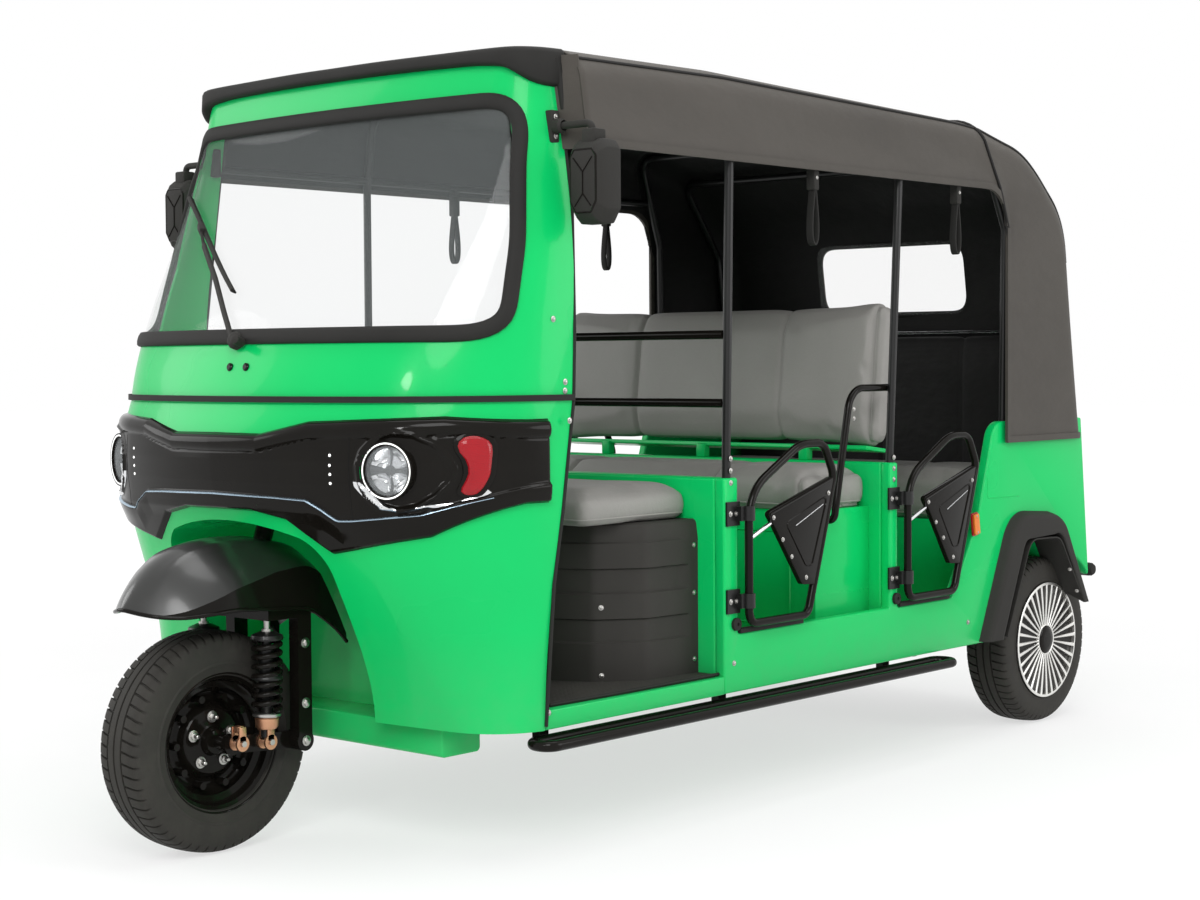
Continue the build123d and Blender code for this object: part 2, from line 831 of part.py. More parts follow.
with BuildPart() as rear_window:
    add(canopy_body(1))
    add(canopy_body(3), mode=Mode.SUBTRACT)
    add(window_prism(-seat_gap), mode=Mode.INTERSECT)
save(rear_window, "rear_window")

# ---- canopy frame ----
hoop_inset = canvas + seat_gap + hoop_diameter / 2
hoop_x = canopy_half_width - hoop_inset
side_rail_z = 1640
post_x = hoop_x - 6
post_foot_x = body_half_width - wall / 2
# foot x, foot y, foot height, shoulder y, shoulder height, roof y, roof height
hoops = [
    (post_x, 585, side_rail_z, 585, 1700, 590, 1833),
    (post_foot_x, 1108, bulkhead_top_z, 1116, valance_z, 1116, 1839.8),
    (post_foot_x, 1833, pillar_top_z, 1869, valance_z, 1869, 1818.2),
    (post_foot_x, 2430, hip_z, 2430, 1500, 2312, 1800),
    (post_foot_x, 2820, hip_z, 2752, 1470, 2548, 1730),
]

with BuildPart() as canopy_frame:
    for foot_x, foot_y, foot_z, shoulder_y, shoulder_z, roof_y, roof_z in hoops:
        corner_z = roof_z - hoop_inset
        corner_x = hoop_x - (corner_z - valance_z) * roof_taper - 2
        shoulder_x = post_x - max(0, shoulder_z - valance_z) * roof_taper
        right = [
            (foot_x, front_axle_y + foot_y, foot_z - 3),
            (shoulder_x, front_axle_y + shoulder_y, shoulder_z),
            (corner_x, front_axle_y + roof_y, corner_z),
        ]
        left = [(-x, y, z) for x, y, z in reversed(right)]
        add(tube([*right, *left], hoop_diameter, 55))
        under_foot = (front_axle_y + foot_y - 20, front_axle_y + foot_y + 20)
        add(block((-900, 900), under_foot, (foot_z - 20, foot_z)), mode=Mode.SUBTRACT)
    for side in (-1, 1):
        rail_side_x = side * post_x
        rail_ends = [(rail_side_x, front_axle_y + 575, side_rail_z), (rail_side_x, front_axle_y + 2395, side_rail_z)]
        with BuildSketch(Plane(origin=rail_ends[0], z_dir=(0, 1, 0))):
            Circle(hoop_diameter / 2 - 1)
        extrude(amount=rail_ends[1][1] - rail_ends[0][1])
save(canopy_frame, "canopy_frame")

# ---- rails, guards and steps ----
def post_at(hoop, z):
    """Centre (x, y) of a hoop's left post at height z."""
    foot_x, foot_y, foot_z, shoulder_y, shoulder_z = hoop[:5]
    share = (z - foot_z) / (shoulder_z - foot_z)
    return foot_x + (post_x - foot_x) * share, front_axle_y + foot_y + (shoulder_y - foot_y) * share


grab_rail_z = (1012, 1182)

with BuildPart() as grab_rails:
    for z in grab_rail_z:
        x, y = post_at(hoops[1], z)
        reach = x - hoop_diameter / 2
        add(pin((-reach, reach), y, z, rail_tube / 2))
save(grab_rails, "grab_rails")

guard_tube = 20
guard_z = 1041
guard_x = post_at(hoops[2], guard_z)[0] - hoop_diameter / 2 - guard_tube / 2
# seat guard in side view: y behind the front axle, height
guard_line = [(1858, guard_z), (1676, guard_z), (1598, 690)]

with BuildPart() as seat_guards:
    for side in (-1, 1):
        line = [(side * guard_x, front_axle_y + y, z) for y, z in guard_line]
        foot = (side * seat_half_width, line[-1][1], line[-1][2])
        add(tube([*line, foot], guard_tube, (70, 16)))
save(seat_guards, "seat_guards")

step_x = (body_half_width - 28, body_half_width + 37)
step_z = 262
step_y = (front_axle_y + 400, front_axle_y + 2093)

with BuildPart() as side_steps:
    for side in (-1, 1):
        near, far = side * step_x[0], side * step_x[1]
        loop = [(near, step_y[0], step_z), (far, step_y[0], step_z), (far, step_y[1], step_z), (near, step_y[1], step_z)]
        add(tube(loop, step_tube, 30, closed=True))
        for y in cross_members_y[:3]:
            stay = sorted((side * (step_x[0] - 26), side * (step_x[0] - 3)))
            add(block(stay, (y + 10, y + cross_depth - 10), (step_z - 6, rail_top_z - 40)))
save(side_steps, "side_steps")

# ---- mirrors, straps and wiper ----
mirror = {"x": body_half_width + 72, "y": 528, "z": 1518, "width": 96, "depth": 56, "height": 172}
mirror_arm = 16
# reach outwards and height of the plate that carries each mirror's arm
mirror_plate = (27, 74)
mirror_arm_z = 1650

with BuildPart() as mirrors:
    half_height = mirror["height"] / 2
    root_x = body_half_width - 68
    for side in (-1, 1):
        x, y = side * mirror["x"], front_axle_y + mirror["y"]
        with BuildSketch(Plane.XZ.offset(-y - mirror["depth"] / 2)):
            with Locations((x, mirror["z"])):
                RectangleRounded(mirror["width"], mirror["height"], 22)
        extrude(amount=mirror["depth"])
        top = mirror["z"] + half_height
        arm = [(side * root_x, y + 8, mirror_arm_z), (x, y, mirror_arm_z), (x, y, top - 10)]
        add(tube(arm, mirror_arm, 24))
        plate_x = sorted((side * root_x, side * (root_x + mirror_plate[0])))
        plate_z = (mirror_arm_z - mirror_plate[1] / 2, mirror_arm_z + mirror_plate[1] / 2)
        add(block(plate_x, (y - 10, y + 18), plate_z))
    add(cab_body(cab_levels), mode=Mode.SUBTRACT)
save(mirrors, "mirrors")

strap = {"drop": 215, "width": 44, "band": 24, "thickness": 4}
strap_y = (1468, 2160)

with BuildPart() as grab_straps:
    top = side_rail_z - hoop_diameter / 2 + 1
    for side in (-1, 1):
        with BuildSketch(Plane.YZ.offset(side * post_x - strap["band"] / 2)):
            with Locations(*[(front_axle_y + y, top - strap["drop"] / 2) for y in strap_y]):
                SlotOverall(strap["drop"], strap["width"], rotation=90)
                thinner = 2 * strap["thickness"]
                SlotOverall(strap["drop"] - thinner, strap["width"] - thinner, rotation=90, mode=Mode.SUBTRACT)
        extrude(amount=strap["band"])
save(grab_straps, "grab_straps")

wiper_pivot = (17, 1159)
wiper_tip = (-270, front_axle_y + 232, 1400)
wiper_blade = [(-70, front_axle_y + 142, 1280), (-470, front_axle_y + 328, 1520)]
wiper_start_y = front_axle_y + 62

with BuildPart() as wiper:
    with BuildSketch(Plane.XZ.offset(-wiper_start_y)):
        with Locations(wiper_pivot):
            Circle(12)
    extrude(amount=-60)
    add(cab_body(cab_levels), mode=Mode.SUBTRACT)
    arm_start = (wiper_pivot[0], wiper_start_y + 6, wiper_pivot[1])
    for start, end, diameter in ((arm_start, wiper_tip, 9), (*wiper_blade, 10)):
        way = Vector(*end) - Vector(*start)
        with BuildSketch(Plane(origin=start, z_dir=way)):
            Circle(diameter / 2)
        extrude(amount=way.length)
save(wiper, "wiper")

# ---- rear axle ----
axle_tube = 60
stub_diameter = 34
spring_seat_z = axle_z + axle_tube / 2 + 7
spring_seat_half = 40
spring_half = 170
spring_eye = 20

with BuildPart() as rear_axle:
    tube_half = tyre_centre_x - tyre_width / 2 - 8
    add(pin((-tube_half, tube_half), rear_axle_y, axle_z, axle_tube / 2))
    add(pin((-tyre_centre_x - 40, tyre_centre_x + 40), rear_axle_y, axle_z, stub_diameter / 2))
    add(pin((-60, 160), rear_axle_y, axle_z, 95))
    add(pin((160, 230), rear_axle_y, axle_z, 70))
    for side in (-1, 1):
        seat_x = sorted((side * rail_x[0], side * rail_x[1]))
        seat_y = (rear_axle_y - spring_seat_half, rear_axle_y + spring_seat_half)
        add(block(seat_x, seat_y, (axle_z, spring_seat_z)))
save(rear_axle, "rear_axle")

with BuildPart() as leaf_springs:
    for side in (-1, 1):
        with BuildSketch(Plane.YZ.offset(min(side * rail_x[0], side * rail_x[1]))):
            ends = [rear_axle_y + sign * spring_half for sign in (-1, 1)]
            flats = [rear_axle_y + sign * (spring_half - spring_eye) for sign in (-1, 1)]
            seats = [rear_axle_y + sign * spring_seat_half for sign in (-1, 1)]
            top = kick_z[0]
            with BuildLine():
                Polyline(
                    (seats[0], spring_seat_z), (seats[1], spring_seat_z), (flats[1], top - 10), (ends[1], top - 10),
                    (ends[1], top), (flats[1], top), (seats[1], spring_seat_z + 24),
                    (seats[0], spring_seat_z + 24), (flats[0], top), (ends[0], top),
                    (ends[0], top - 10), (flats[0], top - 10), close=True,
                )
            make_face()
        extrude(amount=rail_x[1] - rail_x[0])
save(leaf_springs, "leaf_springs")


# ---- wheels ----
bead_radius = rim_diameter / 2
rim_lip = 9
hub_half = 55
front_axle_diameter = 24


def wheel_plane(x, y):
    """Plane through a wheel's centre with its local Y pointing up and its local X along the axle."""
    return Plane(origin=(x, y, axle_z), x_dir=(1, 0, 0), z_dir=(0, -1, 0))


def tyre(x, y):
    """Tyre with a crowned tread and bulged side walls."""
    tread, half = tyre_diameter / 2, tyre_width / 2
    shoulder = (half - 15, tread - 8)
    bead = (half - 12, bead_radius)
    bead_top = (half - 12, bead_radius + rim_lip + 3)
    flank = (half, (tread + bead_top[1]) / 2)
    with BuildPart() as piece:
        with BuildSketch(wheel_plane(x, y)):
            with BuildLine():
                ThreePointArc((-shoulder[0], shoulder[1]), (0, tread), shoulder)
                ThreePointArc(shoulder, flank, bead_top)
                Polyline(bead_top, bead, (-bead[0], bead[1]), (-bead_top[0], bead_top[1]))
                ThreePointArc((-bead_top[0], bead_top[1]), (-flank[0], flank[1]), (-shoulder[0], shoulder[1]))
            make_face()
        revolve(axis=Axis((x, y, axle_z), (1, 0, 0)))
    return piece.part


def rim(x, y, axle_diameter, outward=1):
    """Steel wheel: barrel, dished disc with vents, and hub."""
    half = tyre_width / 2 - 12
    seat = bead_radius - seat_gap
    with BuildPart() as piece:
        with BuildSketch(wheel_plane(x, y)):
            with BuildLine():
                Polyline(
                    (-half - 4, seat + rim_lip), (-half - seat_gap, seat + rim_lip), (-half - seat_gap, seat),
                    (half + seat_gap, seat), (half + seat_gap, seat + rim_lip), (half + 4, seat + rim_lip),
                    (half + 4, seat - 6), (-half - 4, seat - 6), close=True,
                )
            make_face()
        revolve(axis=Axis((x, y, axle_z), (1, 0, 0)))
        disc_x = sorted((x + outward * 14, x + outward * 20))
        add(pin(disc_x, y, axle_z, seat - 3))
        add(pin((x - hub_half, x + hub_half), y, axle_z, 42))
        with BuildSketch(Plane.YZ.offset(disc_x[0] - 5)):
            with Locations((y, axle_z)):
                with PolarLocations(112, 10):
                    Circle(15)
        extrude(amount=16, mode=Mode.SUBTRACT)
        add(pin((x - 90, x + 90), y, axle_z, axle_diameter / 2 + shaft_gap), mode=Mode.SUBTRACT)
    return piece.part


def wheel_cover(x, y, outward):
    """Dished cover clipped over the outside of a rear rim."""
    half = tyre_width / 2
    section = [(-7.7, 24), (-7.7, 160), (1, 168), (1, 174), (4, 176), (6, 168), (3, 100), (-2, 50), (-2, 24)]
    with BuildPart() as piece:
        with BuildSketch(wheel_plane(x, y)):
            with BuildLine():
                Polyline(*[(outward * (half + step), radius) for step, radius in section], close=True)
            make_face()
        revolve(axis=Axis((x, y, axle_z), (1, 0, 0)))
    return piece.part


with BuildPart() as front_tyre:
    add(tyre(0, front_axle_y))
save(front_tyre, "front_tyre")

with BuildPart() as front_rim:
    add(rim(0, front_axle_y, front_axle_diameter))
save(front_rim, "front_rim")

for side, name in ((1, "left"), (-1, "right")):
    centre = side * tyre_centre_x
    with BuildPart() as rear_tyre:
        add(tyre(centre, rear_axle_y))
    save(rear_tyre, f"rear_tyre_{name}")
    with BuildPart() as rear_rim:
        add(rim(centre, rear_axle_y, stub_diameter, side))
    save(rear_rim, f"rear_rim_{name}")
    with BuildPart() as rear_cover:
        add(wheel_cover(centre, rear_axle_y, side))
    save(rear_cover, f"rear_cover_{name}")

# ---- steering ----
fork_half_width = 132
leg_x = (100, fork_half_width)
arm_x = (84, leg_x[0])
pivot_point = (front_axle_y + 187, 241)
crown_z = (530, 560)
crown_y = (front_axle_y + 80, front_axle_y + 207)
shock_y = (front_axle_y + 88, front_axle_y + 95)
shock_eye_z = 248
shock_x = (leg_x[0] + leg_x[1]) / 2

with BuildPart() as front_fork:
    add(block((-fork_half_width, fork_half_width), crown_y, crown_z))
    add(pin((-arm_x[1], arm_x[1]), front_axle_y, axle_z, front_axle_diameter / 2))
    for side in (-1, 1):
        legs = sorted((side * leg_x[0], side * leg_x[1]))
        arms = sorted((side * arm_x[0], side * arm_x[1]))
        collar = sorted((side * (hub_half + 3), side * arm_x[1]))
        add(block(legs, (pivot_point[0] - 20, pivot_point[0] + 20), (pivot_point[1], crown_z[0])))
        add(pin(legs, *pivot_point, 24))
        add(pin(collar, front_axle_y, axle_z, 18))
        with BuildSketch(Plane.YZ.offset(arms[0])):
            with Locations((front_axle_y, axle_z)):
                Circle(24)
            with Locations(pivot_point):
                Circle(24)
            with BuildLine():
                Polyline(
                    (front_axle_y, axle_z - 20), (pivot_point[0], pivot_point[1] - 20),
                    (pivot_point[0], pivot_point[1] + 20), (front_axle_y, axle_z + 20), close=True,
                )
            make_face()
        extrude(amount=arms[1] - arms[0])
save(front_fork, "front_fork")

with BuildPart() as front_shocks:
    for side in (-1, 1):
        x = side * shock_x
        eye = sorted((side * leg_x[0], side * leg_x[1]))
        add(pin(eye, shock_y[0], shock_eye_z, 17))
        with BuildSketch(Plane.XY.offset(shock_eye_z)):
            with Locations((x, shock_y[1])):
                Circle(13)
        extrude(amount=crown_z[0] - shock_eye_z)
        with BuildSketch(Plane.XY.offset(322)):
            with Locations((x, shock_y[1])):
                Circle(28)
        extrude(amount=163)
save(front_shocks, "front_shocks")

# mudguard: y behind the front axle, half width, edge height, crown height
mudguard_sections = [
    (-240, 50, 578, 606),
    (-150, 122, 588, 660),
    (0, 142, 576, 706),
    (110, 142, 562, 718),
    (220, 138, 528, 696),
    (300, 130, 480, 622),
    (340, 124, 448, 500),
]
guard_skin = 4


def mudguard_body(inset=0):
    """Solid under the mudguard's skin."""
    with BuildPart() as body:
        for index, (y, half_width, edge, crown) in enumerate(mudguard_sections):
            ahead = inset if index == 0 else 0
            with BuildSketch(Plane.XZ.offset(-front_axle_y - y - ahead)):
                half = half_width - inset
                spring = edge + 8
                foot = edge - 10 * inset
                with BuildLine():
                    ThreePointArc((-half, spring), (0, crown - inset), (half, spring))
                    Polyline((half, spring), (half, foot), (-half, foot), (-half, spring))
                make_face()
        loft()
    return body.part


with BuildPart() as front_mudguard:
    add(mudguard_body())
    add(mudguard_body(guard_skin), mode=Mode.SUBTRACT)
    with BuildSketch(steer_plane(600)):
        Circle(stem_diameter / 2 + seat_gap)
    extrude(amount=200, mode=Mode.SUBTRACT)
save(front_mudguard, "front_mudguard")

stem_top_z = 1072
# handlebar, right half from the clamp: x, y behind the front axle, height
bar_line = [(150, 318, 1075), (235, 350, 1078), (350, 420, 1062)]
bar_tube = 24
grip_diameter = 34
grip_length = 110

with BuildPart() as handlebar:
    with BuildSketch(steer_plane(crown_z[0])):
        Circle(stem_diameter / 2)
    extrude(amount=(stem_top_z - crown_z[0]) / math.cos(math.radians(steer_rake)))
    add(block((-100, 100), (front_axle_y, front_axle_y + 300), (crown_z[0] - 60, crown_z[1])), mode=Mode.SUBTRACT)
    right = [(x, front_axle_y + y, z) for x, y, z in bar_line]
    left = [(-x, y, z) for x, y, z in reversed(right)]
    add(tube([*reversed(right), *reversed(left)], bar_tube, 60))
    for side in (-1, 1):
        end = Vector(side * right[-1][0], *right[-1][1:])
        way = (Vector(side * right[-2][0], *right[-2][1:]) - end).normalized()
        with BuildSketch(Plane(origin=end, z_dir=way)):
            Circle(grip_diameter / 2)
        extrude(amount=grip_length)
save(handlebar, "handlebar")

# ---- half doors ----
door_x = body_half_width + 22
door_bottom_z = 462
door_bend = 35
hinge_height = 36
hinge_z = (520, 738)
hinge_clearance = 0.5
hinge_ring = 16
door_panel_x = (door_x - 8, door_x + 8)
# name, hinge line, top rear corner and bottom rear corner: y behind the front axle
doors = [
    ("front", 1152, 1516, 1400),
    ("rear", 1868, 2222, 2105),
]


def door(side, hinge_y, top_y, bottom_y):
    """Bent tube frame with a plastic filler panel in its rear corner."""
    crest_y = hinge_y + 215
    frame = [
        (hinge_y, door_bottom_z), (hinge_y, 790), (crest_y, 903),
        (top_y - 44, 903), (top_y, 818), (bottom_y, door_bottom_z),
    ]
    filler = [(hinge_y + 104, 712), (top_y - 6, 794), (bottom_y + 24, 538), (bottom_y - 34, 543), (hinge_y + 132, 690)]
    brace = [(hinge_y, 674), (hinge_y + 122, 706)]
    with BuildPart() as piece:
        add(tube([(side * door_x, y, z) for y, z in frame], door_tube, door_bend, closed=True))
        add(side_slab(filler, *sorted(side * x for x in door_panel_x)))
        (start_y, start_z), (end_y, end_z) = brace
        way = Vector(0, end_y - start_y, end_z - start_z)
        with BuildSketch(Plane(origin=(side * door_x, start_y, start_z), z_dir=way)):
            Circle(5)
        extrude(amount=way.length)
    return piece


for side, name in ((1, "left"), (-1, "right")):
    for row, hinge_y, top_y, bottom_y in doors:
        piece = door(side, *(front_axle_y + y for y in (hinge_y, top_y, bottom_y)))
        save(piece, f"{row}_door_{name}")

with BuildPart() as door_hinges:
    for side in (-1, 1):
        for row, hinge_y, top_y, bottom_y in doors:
            y = front_axle_y + hinge_y
            for z in hinge_z:
                span = (z - hinge_height / 2, z + hinge_height / 2)
                leaf = sorted((side * body_half_width, side * (body_half_width + 6)))
                ear = sorted((side * body_half_width, side * door_x))
                add(block(leaf, (y - 66, y - 15), (span[0] - 12, span[1] + 12)))
                add(block(ear, (y - 30, y - 14), span))
                with BuildSketch(Plane.XY.offset(span[0])):
                    with Locations((side * door_x, y)):
                        Circle(hinge_ring)
                extrude(amount=hinge_height)
                with BuildSketch(Plane.XY.offset(span[0] - 20)):
                    with Locations((side * door_x, y)):
                        Circle(door_tube / 2 + hinge_clearance)
                extrude(amount=hinge_height + 40, mode=Mode.SUBTRACT)
save(door_hinges, "door_hinges")
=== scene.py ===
"""Dresses a packed auto rickshaw: paint, glass, wheels, lamps, seats, soft top, doors and trim.

+X is the vehicle's left, -Y its front and +Z up. Metres. Lengths in tables that are named "back"
are measured rearwards from the front axle.
"""

import json
import math

import bmesh
import bpy
from bpy.props import FloatProperty, FloatVectorProperty, IntProperty, PointerProperty
from mathutils import Matrix, Vector
from mathutils.bvhtree import BVHTree


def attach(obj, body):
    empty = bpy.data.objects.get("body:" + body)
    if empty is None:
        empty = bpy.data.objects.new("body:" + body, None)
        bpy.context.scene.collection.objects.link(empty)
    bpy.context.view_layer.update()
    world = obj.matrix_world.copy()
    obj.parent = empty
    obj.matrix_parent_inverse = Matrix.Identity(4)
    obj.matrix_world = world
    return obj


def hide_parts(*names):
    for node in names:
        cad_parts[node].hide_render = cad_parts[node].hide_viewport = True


bl_info = {
    "name": "Auto Rickshaw Dresser",
    "version": (1, 0, 0),
    "blender": (4, 5, 0),
    "location": "3D View > Sidebar > Rickshaw",
    "description": "Builds the visible pieces of a passenger auto rickshaw around its packed frame",
    "category": "Object",
}

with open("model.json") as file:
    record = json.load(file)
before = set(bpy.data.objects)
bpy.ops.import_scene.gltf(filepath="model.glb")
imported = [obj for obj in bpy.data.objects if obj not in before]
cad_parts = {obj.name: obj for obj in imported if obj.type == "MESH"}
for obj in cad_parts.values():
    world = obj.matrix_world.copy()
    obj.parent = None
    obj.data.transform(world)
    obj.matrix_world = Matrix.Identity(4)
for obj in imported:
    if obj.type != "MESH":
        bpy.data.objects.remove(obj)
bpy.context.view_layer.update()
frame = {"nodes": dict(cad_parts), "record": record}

FRONT = -1.361
REAR = 1.361
AXLE_Z = 0.254
HALF_WIDTH = 0.668
SLOT_OF = {row["node"]: row["material_slot"] for row in frame["record"]["subparts"]}
SIDES = ((1, "left"), (-1, "right"))


def at(x, back, z):
    """A point given by how far it lies behind the front axle."""
    return Vector((x, FRONT + back, z))


# ---------------------------------------------------------------- sizes and colours


def length_property(name, description, default):
    return FloatProperty(name=name, description=description, default=default, unit="LENGTH")


def number_property(name, description, default, least):
    return IntProperty(name=name, description=description, default=default, min=least)


def colour_property(name, description, default):
    return FloatVectorProperty(
        name=name, description=description, default=default, subtype="COLOR"
    )


class RickshawSizes(bpy.types.PropertyGroup):
    """Sizes of the dressing that a user may change."""

    tread_depth: length_property("Tread depth", "Depth of the tyre grooves", 0.006)
    tread_pitches: number_property("Tread pitches", "Cross grooves around a tyre", 60, 20)
    cover_fins: number_property("Cover fins", "Radial fins on a rear wheel cover", 32, 8)
    cushion_swell: length_property("Cushion swell", "How far the padding may swell", 0.022)
    seam_depth: length_property("Seam depth", "Depth of the sewn seams in the seats", 0.007)
    roof_sag: length_property("Roof sag", "Sag of the soft top between its hoops", 0.007)
    roof_edge: length_property("Roof edge", "Reach of the rounded edge of the soft top", 0.085)


class RickshawColours(bpy.types.PropertyGroup):
    """Colours of the dressing that a user may change."""

    body_green: colour_property("Body green", "Body paint", (0.003, 0.545, 0.128))
    seat_grey: colour_property("Seat grey", "Seat vinyl", (0.270, 0.262, 0.246))
    canopy_grey: colour_property("Soft top grey", "Soft top vinyl", (0.056, 0.050, 0.043))
    lamp_red: colour_property("Lamp red", "Red lamp lenses", (0.34, 0.005, 0.011))
    marker_amber: colour_property("Marker amber", "Side marker lenses", (0.75, 0.19, 0.02))


# ---------------------------------------------------------------- shader maths


class Value:
    """A node's value output, or a colour or vector one, that takes part in Python arithmetic."""

    def __init__(self, nodes, socket):
        self.nodes = nodes
        self.socket = socket

    def maths(self, operation, *others):
        return self.nodes.node("ShaderNodeMath", {"operation": operation}, [self, *others])

    def __add__(self, other):
        return self.maths("ADD", other)

    __radd__ = __add__

    def __mul__(self, other):
        return self.maths("MULTIPLY", other)

    __rmul__ = __mul__

    def __gt__(self, other):
        return self.maths("GREATER_THAN", other)

    def clamped(self):
        return self.maths("MINIMUM", 1.0).maths("MAXIMUM", 0.0)


class Nodes:
    """A node tree in the making. Every node is added and set through one method."""

    def __init__(self, tree):
        self.tree = tree

    def node(self, kind, settings=None, inputs=None, output=0):
        made = self.tree.nodes.new(kind)
        for label, value in (settings or {}).items():
            setattr(made, label, value)
        pairs = inputs.items() if isinstance(inputs, dict) else enumerate(inputs or [])
        for label, value in pairs:
            self.join(made.inputs[label], value)
        return Value(self, made.outputs[output])

    def join(self, socket, value):
        if isinstance(value, Value):
            self.tree.links.new(value.socket, socket)
        elif isinstance(value, tuple) and len(value) == 3 and len(socket.default_value) == 4:
            socket.default_value = (*value, 1.0)
        else:
            socket.default_value = value

    def mix(self, share, first, second):
        colours = {"data_type": "RGBA", "blend_type": "MIX"}
        return self.node("ShaderNodeMix", colours, {0: share, 6: first, 7: second}, output=2)

    def seen(self):
        """1 for a ray that shows in the picture, seen at once, through glass or in a reflection."""
        rays = [
            self.node("ShaderNodeLightPath", output=f"Is {kind} Ray")
            for kind in ("Camera", "Transmission", "Glossy")
        ]
        return rays[0].maths("MAXIMUM", rays[1]).maths("MAXIMUM", rays[2])

    def end_in(self, share, first, second, output):
        """Ends the tree in two shaders mixed by share."""
        both = self.node("ShaderNodeMixShader", inputs=[share, first, second])
        self.join(self.tree.nodes[output].inputs["Surface"], both)


class Recipe(Nodes):
    """One material in the making. Constants are written on the shader's own sockets."""

    def __init__(self, name, **constants):
        self.material = bpy.data.materials.new(name)
        self.material.use_nodes = True
        super().__init__(self.material.node_tree)
        self.shader = self.tree.nodes["Principled BSDF"]
        self.spot = self.node("ShaderNodeTexCoord", output="Object")
        for label, value in constants.items():
            self.feed(label, value)

    def feed(self, label, value):
        self.join(self.shader.inputs[label.replace("_", " ")], value)

    def surface(self, colour, roughness, height, strength, distance, under=None):
        """Feeds the shader's colour, roughness and bump, and hands over the material."""
        self.feed("Base Color", colour)
        self.feed("Roughness", roughness)
        self.feed("Normal", self.bump(height, strength, distance, under))
        return self.material

    def noise(self, scale, detail=3.0, roughness=0.5, stretch=None, distortion=0.0):
        place = self.spot
        if stretch:
            place = self.node("ShaderNodeVectorMath", {"operation": "MULTIPLY"}, [place, stretch])
        return self.node(
            "ShaderNodeTexNoise",
            inputs={
                "Vector": place,
                "Scale": scale,
                "Detail": detail,
                "Roughness": roughness,
                "Distortion": distortion,
            },
        )

    def cells(self, scale, randomness=1.0):
        return self.node(
            "ShaderNodeTexVoronoi",
            {"feature": "F1"},
            {"Vector": self.spot, "Scale": scale, "Randomness": randomness},
            output="Distance",
        )

    def bands(self, direction, scale, **others):
        return self.node(
            "ShaderNodeTexWave",
            {"wave_type": "BANDS", "bands_direction": direction},
            {"Vector": self.spot, "Scale": scale, **others},
            output="Fac",
        )

    def height(self):
        """Z of the place on the piece."""
        return self.node("ShaderNodeSeparateXYZ", inputs=[self.spot], output="Z")

    def ramp(self, value, low, high):
        """0 at low, 1 at high."""
        return self.node(
            "ShaderNodeMapRange", inputs={"Value": value, "From Min": low, "From Max": high}
        )

    def toned(self, share, colour, low, high):
        """The colour made darker or lighter by two factors, mixed by share."""
        return self.mix(share, shade(colour, low), shade(colour, high))

    def bump(self, height, strength, distance, under=None):
        inputs = {"Height": height, "Strength": strength, "Distance": distance}
        if under is not None:
            inputs["Normal"] = under
        return self.node("ShaderNodeBump", inputs=inputs)


def shade(colour, factor):
    return tuple(min(1.0, part * factor) for part in colour)


def paint(name, colour, roughness=0.24):
    """Sprayed enamel: faint orange peel, cloudy gloss and road dust low down."""
    made = Recipe(name, Coat_Weight=0.14, Coat_Roughness=0.06, Specular_IOR_Level=0.12)
    cloud = made.noise(2.3, 3)
    peel = made.noise(420, 2)
    dust = made.ramp(made.height(), 0.52, 0.26) * made.noise(26, 5, 0.65).clamped() * 0.20
    tone = made.mix(dust, made.toned(cloud, colour, 0.93, 1.06), (0.22, 0.21, 0.18))
    return made.surface(tone, roughness + cloud * 0.08 + dust * 0.5, peel, 0.05, 0.0006)


def lacquer(name, colour, roughness=0.10, gloss=0.14, specular=0.06):
    """Glossy moulded plastic with hairline scratches and fingermarks."""
    made = Recipe(
        name, Coat_Weight=gloss, Coat_Roughness=roughness / 2, Specular_IOR_Level=specular
    )
    smear = made.noise(9, 4, 0.6)
    scratch = made.noise(60, 6, 0.7, stretch=(1.0, 1.0, 14.0))
    tone = made.toned(smear, colour, 0.85, 1.5)
    rough = roughness + smear * 0.09 + (scratch > 0.66) * 0.05
    return made.surface(tone, rough, made.noise(240, 2), 0.02, 0.0004)


def grained(name, colour, roughness=0.52):
    """Moulded plastic with a fine leather-like tool grain."""
    made = Recipe(name, Specular_IOR_Level=0.16)
    cell = made.cells(900.0)
    cloud = made.noise(5, 4)
    tone = made.toned(cloud, colour, 0.8, 1.25)
    return made.surface(tone, roughness + cell * 0.25 + cloud * 0.06, cell, 0.35, 0.0006)


def coated_steel(name, colour):
    """Powder-coated tube: fine orange peel and a few rubbed spots."""
    made = Recipe(name, Coat_Weight=0.12, Coat_Roughness=0.15, Specular_IOR_Level=0.25)
    rub = made.noise(34, 6, 0.75) > 0.70
    cloud = made.noise(11, 3)
    tone = made.mix(rub * 0.5, colour, (0.075, 0.073, 0.070))
    return made.surface(tone, 0.30 + cloud * 0.12 + rub * 0.08, made.noise(620, 2), 0.12, 0.0005)


def rubber(name, colour, roughness=0.62):
    """Extruded or moulded rubber with a dull bloom."""
    made = Recipe(name, Specular_IOR_Level=0.2)
    bloom = made.noise(14, 5, 0.6)
    tone = made.toned(bloom, colour, 0.75, 1.4)
    return made.surface(tone, roughness + bloom * 0.16, made.noise(800, 3), 0.25, 0.0005)


def tyre_rubber(name):
    """Carbon-black rubber, browned by dust in the grooves and on the flanks."""
    made = Recipe(name, Specular_IOR_Level=0.2)
    dust = made.noise(22, 6, 0.65)
    fine = made.noise(700, 4)
    tone = made.mix(dust, (0.018, 0.0175, 0.016), (0.047, 0.044, 0.038))
    return made.surface(tone, 0.58 + dust * 0.2, fine, 0.25, 0.0006)


